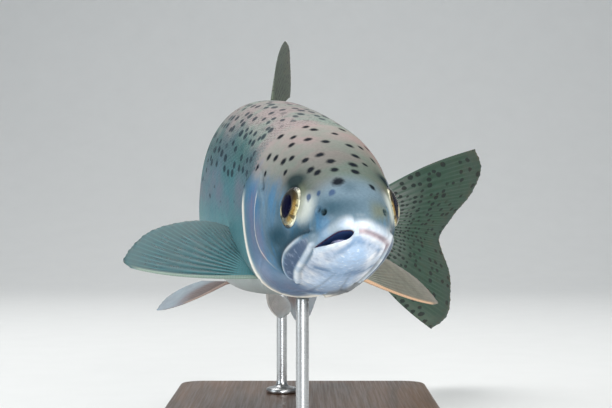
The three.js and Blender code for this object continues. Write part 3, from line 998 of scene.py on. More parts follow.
    def _gill_cover(self, patch: Patch) -> None:
        """The gill cover: a raised sheet with a rolled rim, and soft folds under the throat.

        Args:
            patch: the skin of its side.
        """
        p, s, mark, height = patch.p, patch.s, patch.mark, patch.height
        z = p[:, 2]
        inside = line_distance(self.gill_edge(patch.one), p, patch.n, 30)[0]
        cover = ease(-0.25, 0.45, inside) * ease(30, 14, inside)
        free = 0.25 + 0.75 * ease(16, 9, z)  # the edge melts into the nape at its top
        height += 0.7 * cover * (0.25 + 0.75 * np.exp(-np.maximum(inside, 0) / 9)) * free
        beyond = np.maximum(-inside, 0)
        height -= 1.1 * ease(0.5, -0.3, inside) * np.exp(-beyond / 2.6) * (inside > -20) * free
        height += 0.28 * bell(inside - 0.9, 0.8) * free
        # the rim mask is a painted highlight along the cover's rolled edge
        mark("rim", bell(inside - 1.4, 2.1 + 0.7 * ease(-20, -34, z)) * ease(9, -3, z))
        # painted shade in the crease just outside the cover's free edge
        mark("crease_shade", bell(inside + 0.7, 0.7) * free)
        below = ease(-24, -32, z)
        ripples = 0.5 + 0.5 * np.cos(np.clip(inside, 0, 14) * (2 * math.pi / 2.7))
        height += 0.22 * ripples * below * ease(1.2, 3, inside) * ease(15, 11, inside)
        # painted shade in the troughs of the folds under the throat
        mark("crease_shade", 0.35 * (1 - ripples) * below * ease(1.5, 3, inside) * ease(14, 10, inside))

        # The bone in front of it, with a low ridge along its rear edge, and the seam behind.
        ridge = patch.off(self.preopercle, 16)
        low = ease(-26, -18, z)
        crest = ease(8, -1, z)
        height += 0.45 * ease(-0.4, 0.5, ridge) * np.exp(-np.maximum(ridge, 0) / 5) * (ridge > -1) * crest
        height -= 0.25 * bell(ridge + 0.9, 0.8) * crest
        # the rim mask is a painted highlight along the bone's ridge
        mark("rim", 0.85 * bell(ridge - 0.2, 0.8) * low * ease(9, 4, z))
        soft_top = 1 - ease(0, 9, z) * ease(8, 0.5, inside)
        near = cover * soft_top * np.where(ridge > 0, 0.75, 1.0) * ease(11, -0.5, ridge) * (ridge > AWAY)
        mark("cover", near + cover * (ridge == AWAY) * ease(66, 76, s))
        seam = patch.off(self.opercle_seam)
        height += -0.3 * bell(seam, 0.7) + 0.15 * bell(seam + 1.4, 1.0)

    def _jaws(self, patch: Patch) -> None:
        """The upper jaw's plate, the cheek and the lower jaw.

        Args:
            patch: the skin of their side.
        """
        p, s, mark, height = patch.p, patch.s, patch.mark, patch.height
        top = patch.off(self.plate_top, 16)
        lower = line_distance(self.mouth, p, patch.n, 16)[0]
        plate = ease(-0.9, 0.9, top) * ease(-0.9, 1.2, lower) * ease(11.5, 16, s)
        plate *= (top > AWAY) & (lower > AWAY) & (lower < 13)
        height += 0.72 * plate + 0.3 * plate * bell(top - 0.9, 0.8) - 0.35 * bell(top + 0.8, 0.8) * (s > 14)
        height += 0.2 * plate * bell(lower - 1.0, 0.9)
        mark("plate", plate * ease(2.1, 3.3, lower) * ease(1.1, 2.2, top) * ease(15, 20, s))
        mark("lip", plate * ease(3.3, 2.0, lower))
        mark("lip", bell(top - 0.55, 0.75) * (lower > 0) * ease(20, 27, s) * ease(62, 58, s))
        # painted shade in the crease along the plate's upper edge
        mark("crease_shade", 0.5 * bell(top + 0.9, 0.8) * (s > 15) * ease(62, 58, s))
        mark("shade", ease(-8, -1.5, top) * (top < 0) * (top > AWAY) * ease(64, 56, s) * (s > 16))
        mark("patch", hump(s - 29.5, 8.0, p[:, 2] + 20.8, 3.4) * (lower < 0))
        height += 0.22 * bell(patch.off(self.cheek_bone), 1.3)
        height -= 0.16 * bell(patch.off(self.cheek_line), 1.0)

        line = skin_line(patch.one, throat_points(patch.one, self.jaw_border))
        border = line_distance(line, p, patch.n, 12)[0]
        height += (-0.4 * bell(border, 0.9) + 0.3 * bell(border - 2.0, 1.6)) * ease(20, 38, s)
        # painted shade in the crease of the jaw's border
        mark("crease_shade", 0.35 * bell(border, 0.6) * ease(24, 40, s))
        jaw = ease(0.2, -1.2, lower) * (lower > AWAY) * ease(66, 54, s)
        mark("jaw", np.maximum(jaw, ease(0, 2, border) * (border > AWAY) * (lower < 0) * ease(66, 54, s)))

    def _round_the_eye(self, patch: Patch) -> None:
        """The eye's socket with its brow and the colours round it.

        Args:
            patch: the skin of its side.
        """
        p, mark, height = patch.p, patch.mark, patch.height
        middle, back, above, _ = self.eye.axes(patch.one)
        tail, rise = (p - middle) @ back, (p - middle) @ above
        radius = np.hypot(tail, rise)
        height -= 3.6 * ease(8.9, 7.1, radius)
        height += 0.35 * bell(radius - 9.5, 0.8)
        height += 0.5 * bell(rise - 11.0, 2.2) * ease(15, 6, np.abs(tail))
        mark("brow", np.minimum(1.5 * hump(tail - 2.6, 7.4, rise - 10.6, 3.9), 1.0))
        # painted shade round the rim of the eye's socket
        mark("crease_shade", 0.9 * ease(9.0, 8.0, radius) * (0.35 + 0.65 * ease(-4, 4, tail)))
        mark("silver", ease(1.25, 0.35, np.hypot((tail + 12.2) / 8.4, (rise - 0.4) / 7.2)))
        mark("gild", 0.8 * ease(13.5, 9.5, radius) * ease(3, -3, tail) * ease(-7, 1, rise))
        mark("shade", ease(1.2, 0.3, np.hypot((tail - 8.0) / 17.0, (rise + 14.0) / 7.0)))

    def _snout(self, patch: Patch) -> None:
        """The nostrils, and the shades of snout and cheek.

        Args:
            patch: the skin of their side.
        """
        s, mark = patch.s, patch.mark
        x, z = patch.p[:, 0], patch.p[:, 2]
        mark("shade", 0.9 * hump(s - 8.0, 7.0, z - 6.5, 4.5) * (0.4 + 0.6 * ease(5, -4, x)))
        mark("shade", 0.6 * hump(s - 14.5, 4.5, x + 1.0, 4.0) * (z > 0))
        mark("gild", 0.9 * hump(s - 7.0, 6.0, z - 4.8, 4.2) * ease(3, 8, x))
        mark("pink", hump(s - 68.4, 2.2, z + 19.1, 2.0))
        mark("pink", 0.38 * hump(s - 68.0, 6.0, z + 12.0, 7.5))
        for s0, up0, deep, dark, outer, inner in self.nostrils:
            hole = np.linalg.norm(patch.p - side_points(patch.one, ((s0, up0),)), axis=1)
            patch.height += -deep * ease(1.35, 0.5, hole) + 0.35 * bell(hole - 1.9, 0.6)
            # painted shade in the nostril's hole
            mark("hole", dark * ease(outer, inner, hole))

    def _mouth(self, p: Array, n: Array, s: Array, masks: dict[str, Array], shift: Array) -> Array:
        """Works out the lips and the open mouth, and writes its masks and its pocket in place.

        Args:
            p: points of the smooth form.
            n: their outward directions.
            s: their places along the spine.
            masks: the skin's masks.
            shift: how far each point moves besides its height.

        Returns:
            How far the lips stand out.
        """
        def mark(name: str, value: Array) -> None:
            """Raises one mask."""
            masks[name] = np.maximum(masks[name], value)

        distance, nearest = line_distance(self.mouth, p, n, 14)
        upper, under = distance > 0, distance < 0
        known = distance > AWAY
        gape = np.interp(-p[:, 0], *np.array(self.gape).T, left=0.0, right=0.0)
        gape = np.where(known, gape, 0.0) * ease(22, 17, s)
        front = ease(22, 13, s) * known
        above = np.where(known, distance - gape, -9.0)
        below = np.where(known, -distance - gape, -9.0)
        height = 0.8 * bell(above - 2.2, 2.0) * upper * front
        height -= 0.28 * bell(above - 5.8, 1.3) * upper * ease(13, 6, s)
        height += 0.5 * bell(below - 1.2, 1.2) * under * ease(34, 20, s) * known
        height -= 0.25 * bell(below - 3.3, 1.1) * under * front
        closed = known & (gape < 0.05)
        foot = nearest[:, 0]
        shut = closed * ease(63, 57, s) * np.maximum(ease(1.0, 4.0, foot), ease(-12, -14, foot))
        height -= 0.6 * bell(distance, 0.85) * shut + 0.25 * bell(distance, 0.9) * closed * (s < 30)
        # painted shade along the line of the closed lips
        mark("crease_shade", 0.42 * bell(distance, 0.9) * shut)
        mark("sore", bell(distance, 1.3) * closed * ease(24, 16, s) * (foot > 0))
        lip = np.maximum(ease(6.6, 2.4, above) * upper, ease(2.6, 1.5, below) * under)
        # painted shade: the upper lip's pale band fades on the fish's right side, so it shows darker there
        lip *= (1 - 0.72 * ease(-3, -9, p[:, 0]) * upper)
        mark("lip", lip * front)
        # painted shadow: a blue-grey band just under the lower lip
        mark("patch", bell(below - 4.6, 1.9) * under * front * 0.8)
        mark("wet", ease(12, 6, above) * ease(30, 14, s) * upper)
        inner = np.where(known, gape - np.abs(distance), -9.0)
        # the mouth mask is painted shade: the dark inside of the open mouth
        mark("mouth", ease(0.0, 0.5, inner) * (gape > 0.05))
        deep = ease(-0.15, 1.5, inner) * (gape > 0)
        shift[:, 1] += self.pocket * deep + 0.5 * ease(-1.2, 0, inner) * (gape > 0)
        shift[:, 2] -= 3.6 * deep
        shift[:, 0] += 1.5 * deep
        back = self.jaw_setback * ease(0.0, -1.6, distance + gape) * known
        shift[:, 1] += (back * ease(16, 2, s)) * under
        return height


# ---------------------------------------------------------------- the skin
@dataclass
class Skin:
    """The one closed skin over head, trunk and tail stem."""

    relief: Relief = field(default_factory=Relief)
    columns: int = 288
    head_end: float = 112.0
    head_step: float = 0.5
    trunk_step: float = 4.0
    cap_rings: tuple = (0.75, 0.5, 0.25)

    def rows(self) -> Array:
        """Spaces the rings out, closest together on the snout.

        Returns:
            Their places along the spine.
        """
        cap = np.array([-0.9, -0.75, -0.6, -0.46, -0.34, -0.22, -0.1])
        snout = 6.0 * (np.arange(28) / 28) ** 2
        head = np.arange(6.0, self.head_end, self.head_step)
        trunk = np.arange(self.head_end, STEM_END - 1.0, self.trunk_step)
        return np.concatenate([cap, snout, head, trunk, [STEM_END - 0.8]])

    @staticmethod
    def unwrap(s: Array, around: Array) -> Array:
        """The skin laid out flat, its head given more room.

        Args:
            s: places along the spine.
            around: signed share of the half girth, from -1 to 1.

        Returns:
            (n, 2) of u and v.
        """
        u = 0.02 * (1 + np.minimum(s, 0)) + 0.96 * (np.clip(s, 0, STEM_END) / STEM_END) ** 0.7
        return np.stack([u, 0.5 + 0.485 * around], axis=1)

    def build(self, material: Material) -> Object:
        """Makes the skin's piece.

        Args:
            material: its finish.

        Returns:
            The finished object.
        """
        rows, columns = self.rows(), self.columns
        j, half = np.arange(columns), columns // 2
        side = np.tile(np.where(j < half, 1, -1), len(rows))
        share = np.tile(np.where(j <= half, j, columns - j) / half, len(rows))
        s = np.repeat(rows, columns)
        skin = self.relief.at(s, share, side)
        tip = self.relief.at(np.array([-1.0]), np.array([0.5]), np.array([1.0]))
        flat = self.unwrap(s, share * side)
        ring, ring_flat, ring_table = skin.points[-columns:], flat[-columns:], skin.table()[-columns:]
        middle = ring.mean(axis=0)
        points, flats, table = [skin.points], [flat], [skin.table()]
        for size in self.cap_rings:  # they close the tail's end
            points.append(middle + (ring - middle) * size + [0, 0.4 * (1 - size**2), 0])
            flats.append(ring_flat * [1, size] + [0.004 * (1 - size), 0.5 * (1 - size)])
            table.append(ring_table)
        points += [(middle + [0, 0.4, 0])[None], tip.points]
        flats.append([[flat[-1, 0] + 0.004, 0.5], [0.0, 0.5]])
        table = np.vstack(table + [ring_table[-1:], tip.table()])
        count = len(table) - 2
        faces = grid_faces(count // columns, columns, wrap=True)
        for a, b in zip(j, np.roll(j, -1)):
            faces += [(count - columns + a, count - columns + b, count), (b, a, count + 1)]
        piece = new_piece("skin", SPINE.bend(np.vstack(points)), faces, material, "skin")
        for index, label in enumerate(("place", *MARKS)):
            add_value(piece.data, label, table[:, 3 * index:3 * index + 3])
        add_uv(piece.data, BAKE_MAP, np.vstack(flats))
        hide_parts("head", "lower_jaw", "upper_jaw_plate_right", "upper_jaw_plate_left",
                    "gill_cover_right", "gill_cover_left", "trunk_front", "trunk_middle", "trunk_rear",
                    "tail_stem")
        return piece


# ---------------------------------------------------------------- geometry node trees
class Grower(Group):
    """A geometry tree that makes a finished piece out of points or edges."""

    def __init__(self, name: str, **inputs: str) -> None:
        """Starts the tree with a geometry, a material and further inputs, with underscores for spaces."""
        further = {label.replace("_", " "): holds for label, holds in inputs.items()}
        super().__init__(name, {"Geometry": "Geometry", **further, "Material": "Material"},
                         {"Geometry": "Geometry"}, "Geometry")

    def stored(self, name: str, kind: str = "FLOAT_VECTOR") -> NodeSocket:
        """An attribute of the geometry."""
        return self.add("GeometryNodeInputNamedAttribute", data_type=kind, Name=name).outputs["Attribute"]

    def realized(self, geometry: NodeSocket) -> NodeTree:
        """Ends the tree by realizing its instances and setting the material."""
        real = self.add("GeometryNodeRealizeInstances", Geometry=geometry)
        return self.finish(Geometry=self.add("GeometryNodeSetMaterial", Geometry=real.outputs["Geometry"],
                                             Material=self.given["Material"]).outputs["Geometry"])


def scatter_tree() -> NodeTree:
    """A tree that puts one small piece on each point.

    Returns:
        The tree. Each copy stands along the point's `rise`, is turned along its `lie` and has its `size`.
    """
    n = Grower("Scatter", Piece="Object", Size_Spread="Float", Seed="Int")
    turn = n.add("FunctionNodeAxesToRotation", primary_axis="Z", secondary_axis="Y",
                 Primary_Axis=n.stored("rise"), Secondary_Axis=n.stored("lie"))
    spread = n.add("FunctionNodeRandomValue", data_type="FLOAT", Seed=n.given["Seed"])
    ends = [socket for socket in spread.inputs if socket.type == "VALUE" and socket.enabled]
    for end, operation in zip(ends, ("SUBTRACT", "ADD")):
        n.feed(end, n.math(operation, 1.0, n.given["Size Spread"]))
    drawn = next(socket for socket in spread.outputs if socket.type == "VALUE" and socket.enabled)
    size = n.add("ShaderNodeVectorMath", operation="SCALE", Vector=n.stored("size"), Scale=drawn)
    source = n.add("GeometryNodeObjectInfo", Object=n.given["Piece"])
    copies = n.add("GeometryNodeInstanceOnPoints", Points=n.given["Geometry"],
                   Instance=source.outputs["Geometry"], Rotation=turn.outputs["Rotation"],
                   Scale=size.outputs[0])
    return n.realized(copies.outputs["Instances"])


def tube_tree() -> NodeTree:
    """A tree that turns edges into round tubes.

    Returns:
        The tree. A tube's radius is stored on its points as `radius`.
    """
    n = Grower("Tubes", Sides="Int")
    curves = n.add("GeometryNodeMeshToCurve", Mesh=n.given["Geometry"])
    ring = n.add("GeometryNodeCurvePrimitiveCircle", mode="RADIUS", Resolution=n.given["Sides"], Radius=1.0)
    tube = n.add("GeometryNodeCurveToMesh", Curve=curves.outputs["Curve"],
                 Profile_Curve=ring.outputs["Curve"], Scale=n.stored("radius", "FLOAT"), Fill_Caps=True)
    smooth = n.add("GeometryNodeSetShadeSmooth", Geometry=tube.outputs["Mesh"])
    return n.realized(smooth.outputs["Geometry"])


def grow(seed: Mesh, tree: NodeTree, name: str, slot: str, material: Material, **values: object) -> Object:
    """Runs a geometry tree on a seed mesh and keeps its result as a plain mesh.

    Args:
        seed: points or edges that the tree reads.
        tree: the tree.
        name: name of the finished piece.
        slot: not used.
        material: its finish.
        **values: the tree's other inputs, with underscores for spaces.

    Returns:
        The finished object, riding on the body.
    """
    piece = bpy.data.objects.new(name, seed)
    bpy.context.scene.collection.objects.link(piece)
    modifier = piece.modifiers.new("Grow", "NODES")
    modifier.node_group = tree
    sockets = {item.name: item.identifier for item in tree.interface.items_tree if item.in_out == "INPUT"}
    for key, value in (("Material", material), *values.items()):
        modifier[sockets[key.replace("_", " ")]] = value
    graph = bpy.context.evaluated_depsgraph_get()
    graph.update()
    result = bpy.data.meshes.new_from_object(piece.evaluated_get(graph), depsgraph=graph)
    piece.modifiers.clear()
    piece.data = result
    result.name = name
    return ridden(piece)


# ---------------------------------------------------------------- scales
@dataclass
class Scales:
    """Small overlapping scales in staggered rows from the gill covers to the tail."""

    relief: Relief
    around: int = 112
    rows: int = 132
    start: float = 80.0
    end: float = 436.0
    overlap: float = 1.5
    thickness: float = 0.20
    gill_gap: float = 1.3

    def template(self) -> Object:
        """One scale 1 mm wide and 1 mm long.

        Returns:
            The scale, with its root at the origin, lying along +y and facing +z.
        """
        outline = [(-0.34, -0.42), (0.34, -0.42), (0.5, -0.05), (0.46, 0.28), (0.27, 0.5), (0.0, 0.58),
                   (-0.27, 0.5), (-0.46, 0.28), (-0.5, -0.05)]
        points = [(x, y, self._lift(x, y)) for x, y in outline]
        inner = [(x * 0.6, y * 0.6 + 0.03) for x, y in outline]
        points += [(x, y, self._lift(x, y) + 0.035) for x, y in inner]
        points += [(0.0, 0.04, self._lift(0, 0.04) + 0.045)]
        points += [(x * 0.9, y * 0.9, self._lift(x, y) - 0.12) for x, y in outline]
        k = len(outline)
        faces = []
        for a in range(k):
            b = (a + 1) % k
            faces += [(a, b, k + b, k + a), (k + a, k + b, 2 * k), (b, a, 2 * k + 1 + a, 2 * k + 1 + b)]
        faces.append(tuple(2 * k + 1 + a for a in reversed(range(k))))
        form = np.array(points)
        return bpy.data.objects.new("scale_form", new_mesh("scale_form", form * MM, faces=faces, local=form))

    @staticmethod
    def _lift(x: float, y: float) -> float:
        """Height of a scale over the skin: rising slowly to its free edge and falling to its sides."""
        return 0.04 + 0.06 * (y + 0.42) - 0.10 * x * x

    def seeds(self) -> tuple[Array, ...]:
        """Places the roots.

        Returns:
            s, share and side of every root, and its width and length in millimetres.
        """
        s_rows = self.start + (self.end - self.start) * np.arange(self.rows) / self.rows
        step = (self.end - self.start) / self.rows
        random = np.random.default_rng(ROOT_SEED)
        s, share, side, width, length = [], [], [], [], []
        for index, at in enumerate(s_rows):
            turn = (np.arange(self.around) + 0.5 * (index % 2) + 0.25) / self.around
            turn = turn + random.normal(0, 0.0006, self.around)
            one_side = np.where(turn < 0.5, 1.0, -1.0)
            part = np.clip(np.where(turn < 0.5, 2 * turn, 2 - 2 * turn), 0.002, 0.998)
            s.append(at + random.normal(0, 0.12, self.around))
            share.append(part)
            side.append(one_side)
            wide = 2 * float(SHAPE.girth(at)) / self.around
            width.append(np.full(self.around, wide * 1.28))
            length.append(np.full(self.around, min(step * self.overlap, wide * 2.3)))
        return tuple(np.concatenate(rows) for rows in (s, share, side, width, length))

    def build(self, tree: NodeTree, material: Material) -> None:
        """Makes the coat in pieces.

        Args:
            tree: the scattering tree.
            material: the scales' finish.
        """
        s, share, side, width, length = self.seeds()
        skin = self.relief.at(s, share, side)
        ahead = self.relief.at(s + 1.2, share, side)
        beside = self.relief.at(s, np.clip(share + 0.01, 0, 1), side)
        aside = self.relief.at(s, np.clip(share - 0.01, 0, 1), side)
        base, rise = self.relief.base(s, share, side)
        points = SPINE.bend(skin.points)
        lie = unit(SPINE.bend(ahead.points) - points)
        across = unit(SPINE.bend(beside.points) - SPINE.bend(aside.points)) * side[:, None]
        normal = unit(np.cross(across, lie))
        keep = self._clear_of_head(base, rise, s)
        grown = 1 - 0.55 * ease(103, 86, s) * ease(0, 16, base[:, 2])  # small where they begin
        grown *= 1 - 0.45 * ease(412, 430, s)  # and on the root of the tail
        template = self.template()
        tone = np.random.default_rng(TONE_SEED).uniform(0, 1, len(s))
        bands = (("front", 0, 200), ("middle", 200, 300), ("rear", 300, 500))
        groups = [(one, *band) for one in Side for band in bands]
        for one, part, first, last in groups:
            label = f"{one.name.lower()}_{part}"
            pick = keep & (side == one.value) & (s >= first) & (s < last)
            size = np.stack([width * grown, length * grown, grown], axis=1)
            mesh = new_mesh(f"scale_roots_{label}", points[pick], rise=normal[pick], lie=lie[pick],
                            size=size[pick], root=skin.place[pick], tone=tone[pick])
            piece = grow(mesh, tree, f"scales_{label}", "skin", material, Piece=template, Size_Spread=0.07,
                         Seed=SIZE_SEED)
            self._dress(piece.data)

    def _clear_of_head(self, base: Array, rise: Array, s: Array) -> Array:
        """Keeps scales off the head and the tail's rays.

        Args:
            base: the roots on the smooth form.
            rise: outward directions there.
            s: places along the spine.

        Returns:
            True for roots behind the gill covers and the nape, and in front of the tail's rays.
        """
        keep = (s > 86) & (s < self.end - 9 * np.abs(np.sin(base[:, 2] / 7)) ** 1.5)
        for one in Side:
            inside = line_distance(self.relief.gill_edge(one), base, rise, 30)[0]
            keep &= (inside < -self.gill_gap) & ((inside > AWAY) | (s > 98) | (base[:, 2] > 12))
        return keep

    @staticmethod
    def _dress(mesh: Mesh) -> None:
        """Stores where each point of a scale lies on the fish, and its patch of the bake map.

        Args:
            mesh: a piece of the coat.
        """
        root, local = read_vectors(mesh, "root"), read_vectors(mesh, "local")
        girth = SHAPE.girth(root[:, 0])
        around = np.clip(root[:, 1] / girth, -1, 1) * -1
        uv = Skin.unwrap(root[:, 0], around) + local[:, :2] * 0.003
        add_uv(mesh, BAKE_MAP, uv)
        place, size = root.copy(), read_vectors(mesh, "size")
        place[:, 0] += local[:, 1] * size[:, 1]
        place[:, 1] -= local[:, 0] * size[:, 0]
        add_value(mesh, "place", place)


# ---------------------------------------------------------------- eyes
@dataclass
class Eye:
    """An eyeball with a golden iris around a pear-shaped pupil, under a clear cornea."""

    place: EyePlace = field(default_factory=EyePlace)
    shrink: float = 0.3  # how far the cornea lies inside the solids
    iris: float = 7.6  # outer radius of the coloured ring
    pupil: float = 4.55
    shift: float = 2.6  # how far the pupil sits behind the middle
    tilt: float = 0.20
    ball_size: float = 0.955  # against the clear front
    columns: int = 72

    def _surface(self, side: Side, rings: Sequence[tuple[Array, float, float]], low: float, high: float,
                 ) -> tuple[Array, list[tuple[int, ...]]]:
        """A closed form of rings round the eye's axis.

        Args:
            side: which eye.
            rings: for each ring, its points' distance from the axis, its height along it and how much of the
                gaze's shift and tilt it takes.
            low: height of the rear pole.
            high: height of the front pole.

        Returns:
            Points in metres and faces that look outwards.
        """
        middle, back, above, outward = self.place.axes(side)
        centre = middle + outward * (self.place.bulge - self.place.depth)
        turn = turns(self.columns)
        points = []
        for radius, height, aside in rings:
            x, y = np.cos(turn) * radius + self.shift * aside, np.sin(turn) * radius
            height = height - self.tilt * aside * x
            points.append(centre + back * x[:, None] + above * y[:, None]
                          + outward * (np.zeros(self.columns) + height)[:, None])
        points.append((centre + outward * low)[None])
        points.append((centre + outward * high + back * (self.shift if rings[-1][2] else 0.0))[None])
        faces = ring_faces(len(rings), self.columns, poles=True)
        if side is Side.RIGHT:
            faces = [face[::-1] for face in faces]
        return SPINE.bend(np.vstack(points)), faces

    def pupil_edge(self) -> Array:
        """The pupil's outline: pear-shaped, its point towards the snout.

        Returns:
            Its radius in each column.
        """
        turn = turns(self.columns)
        point = np.exp(-((np.mod(turn, 2 * math.pi) - math.pi) / 0.42) ** 2)
        return self.pupil * (1 + 0.12 * point)

    def build(self, side: Side, name: str, ball: Material, cornea: Material) -> None:
        """Makes one eye.

        Args:
            side: which eye.
            name: the CAD node it replaces.
            ball: finish of the eyeball.
            cornea: finish of the clear front.
        """
        self._cornea(side, name, cornea)
        self._ball(side, name, ball)

    def _cornea(self, side: Side, name: str, cornea: Material) -> None:
        """Makes the clear front.

        Args:
            side: which eye.
            name: the CAD node it replaces.
            cornea: its finish.
        """
        radius, depth = self.place.radius - self.shrink, self.place.depth - self.shrink
        angles = [math.radians(a) for a in np.linspace(-80, 80, 22)]
        rings = [(np.full(self.columns, radius * math.cos(a)), depth * math.sin(a), 0.0) for a in angles]
        points, faces = self._surface(side, rings, -depth, depth)
        clear = new_piece(f"{name}_cornea", points, faces, cornea, "eye")
        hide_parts(name)

    def _ball(self, side: Side, name: str, ball: Material) -> None:
        """Makes the ball with its iris and pupil, just inside the clear front.

        Args:
            side: which eye.
            name: the CAD node that the eye replaces.
            ball: its finish.
        """
        radius, depth = self.place.radius - self.shrink, self.place.depth - self.shrink
        edge = self.pupil_edge()
        inner = self.ball_size
        rings, ring_place = [], []
        for a in np.linspace(-80, 27, 12):
            wide = inner * radius * math.cos(math.radians(a))
            rings.append((np.full(self.columns, wide), inner * depth * math.sin(math.radians(a)), 0.0))
            ring_place.append(1.25)
        rim_height = inner * depth * math.sin(math.radians(27))
        for t in np.linspace(0.08, 1.0, 12):  # the iris, from its rim to the pupil
            rings.append((self.iris + (edge - self.iris) * t, rim_height + 0.42 * t - 0.55 * t**3, t))
            ring_place.append(1.0 - t)
        for t in (0.12, 0.3, 0.5, 0.7, 0.88):  # the lens in the pupil
            rings.append((edge * (1 - t), rim_height - 0.35 + 1.1 * math.sqrt(1 - (1 - t) ** 2), 1.0))
            ring_place.append(-t)
        points, faces = self._surface(side, rings, -inner * depth, rim_height + 0.78)
        piece = new_piece(f"{name}_ball", points, faces, ball, "eye")
        turn = turns(self.columns)
        values = np.concatenate([np.stack([np.full(self.columns, part), np.cos(turn), np.sin(turn)], axis=1)
                                 for part in ring_place] + [np.array([[1.25, 0, 0], [-1.0, 0, 0]])])
        add_value(piece.data, "iris", values)


# ---------------------------------------------------------------- fins
@dataclass(kw_only=True)
class Fin:
    """A fin as a thin sheet between its root line and its free edge, with bony rays."""

    name: str
    node: str  # the CAD node it replaces
    lengths: Rows  # length of its rays along the root, in mm
    thickness: tuple[float, float]  # at the root and at the free edge, in mm
    rays: int
    columns: int = 120
    rows: int = 30
    narrowing: float = 0.0  # share of the thickness lost from the first ray to the last
    thin: float = 0.42  # share of the solids' thickness that the membrane keeps
    branch_at: float = 0.5  # where a ray splits
    trim: float = 0.985  # the web ends this far out

    def sheet(self, u: Array, v: Array) -> Array:
        """Place on the fin."""
        raise NotImplementedError

    def reach(self, u: Array, v: Array) -> Array:
        """Distance from the root line, in mm."""
        return -FIN_SINK + v * (faired(self.lengths, 1, u) + FIN_SINK)

    def thick(self, u: Array, v: Array) -> Array:
        """Thickness of the solids' fin, in metres."""
        root, tip = self.thickness
        return (root + (tip - root) * np.sqrt(v)) * (1 - self.narrowing * u) * MM

    def _normals(self, u: Array, v: Array) -> Array:
        """Directions square to the sheet.

        Args:
            u: shares along the root.
            v: shares outwards.

        Returns:
            The directions.
        """
        du = self.sheet(np.clip(u + 0.004, 0, 1), v) - self.sheet(np.clip(u - 0.004, 0, 1), v)
        dv = self.sheet(u, np.clip(v + 0.004, 0, 1)) - self.sheet(u, np.clip(v - 0.004, 0, 1))
        return unit(np.cross(du, dv))

    def build(self, tree: NodeTree, membrane: Material, bony: Material) -> None:
        """Makes the membrane and the rays.

        Args:
            tree: the tube tree.
            membrane: finish of the sheet.
            bony: finish of the rays.
        """
        u_line, v_line = np.linspace(0, 1, self.columns + 1), np.linspace(0, 1, self.rows + 1)
        u, v = (grid.ravel() for grid in np.meshgrid(u_line, v_line))
        beat = np.cos(u * (self.rays - 1) * 2 * math.pi)
        fine = np.cos(u * (self.rays - 1) * 4 * math.pi)
        scallop = (0.005 * (1 - beat) / 2 + 0.004 * (1 - fine) / 2) * ease(0.7, 1.0, v)
        out = v * (1 - scallop) * self.trim
        normal = self._normals(u, np.clip(out, 0.01, 0.99))
        thick = self.thick(u, v) * self.thin * (0.72 + 0.28 * beat * ease(1.0, 0.5, v))
        edge = np.minimum(np.minimum(u, 1 - u) / 0.012, (1 - v) / 0.02)
        half = normal * (thick * np.sqrt(np.clip(edge, 0.04, 1.0)))[:, None] / 2
        points = self.sheet(u, out)
        count = len(points)
        front = grid_faces(self.rows + 1, self.columns + 1)
        faces = front + [tuple(i + count for i in reversed(face)) for face in front]
        c, r = self.columns + 1, self.rows + 1
        loop = list(range(c)) + [i * c + c - 1 for i in range(1, r)]
        loop += [(r - 1) * c + j for j in range(c - 2, -1, -1)] + [i * c for i in range(r - 2, 0, -1)]
        faces += [(b, a, a + count, b + count) for a, b in zip(loop, loop[1:] + loop[:1])]
        piece = new_piece(self.name, np.vstack([points + half, points - half]), faces, membrane, "fin")
        add_value(piece.data, "fin", np.tile(np.stack([u, v, beat], axis=1), (2, 1)))
        flat = np.stack([0.02 + 0.96 * u, 0.01 + 0.47 * v], axis=1)
        add_uv(piece.data, BAKE_MAP, np.vstack([flat, flat + [0, 0.5]]))
        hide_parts(self.node)
        self._rays(tree, bony)

    def _rays(self, tree: NodeTree, bony: Material) -> None:
        """Grows the rays, each but the outer two split towards the free edge.

        Args:
            tree: the tube tree.
            bony: finish of the rays.
        """
        points, radii, places, edges = [], [], [], []
        gap = 1 / max(self.rays - 1, 1)
        start = 0
        for index in range(self.rays):
            outer = index in (0, self.rays - 1)
            for branch, side in enumerate((0.0,) if outer else (-1.0, 1.0)):
                v = np.linspace(self.branch_at if branch else 0.02, 0.955, 14 if branch else 26)
                u = np.clip(gap * index + side * gap * 0.24 * ease(self.branch_at, 1.0, v), 0.004, 0.996)
                radius = np.minimum(self.thick(u, v) * 0.5 * (0.54 if index else 0.80), 0.0010)
                radius = radius * (1.0 - 0.5 * v)
                points.append(self.sheet(u, v))
                radii.append(radius * np.where(v > self.branch_at, 1.0 if outer else 0.82, 1.0))
                places.append(np.stack([u, v, np.full(len(v), index / self.rays)], axis=1))
                edges += [(start + i, start + i + 1) for i in range(len(v) - 1)]
                start += len(v)
        mesh = new_mesh(f"{self.name}_ray_lines", np.vstack(points), edges, radius=np.concatenate(radii),
                        fin=np.vstack(places))
        grow(mesh, tree, f"{self.name}_rays", "fin", bony, Sides=7)


@dataclass(kw_only=True)
class MedianFin(Fin):
    """A fin on the midline: dorsal, adipose or anal."""

    start: float  # where its root begins along the spine
    base: float  # length of its root
    side: int = 1  # +1 on the back, -1 on the belly
    lean: tuple[float, float]  # how far its first and last rays lean back, in degrees
    sweep: float = 9.0  # how much further they lean at their tips

    def sheet(self, u: Array, v: Array) -> Array:
        """Place on the fin.

        Args:
            u: shares along the root.
            v: shares outwards.

        Returns:
            Points in metres.
        """
        first, last = self.lean
        angle = np.radians(first + (last - first) * u + self.sweep * v**2)
        root, reach = self.start + self.base * u, self.reach(u, v)
        up = faired(SECTIONS, 1 if self.side > 0 else 2, root) + self.side * reach * np.cos(angle)
        return SPINE.bend(np.stack([np.zeros_like(up), root + reach * np.sin(angle), up], axis=-1))


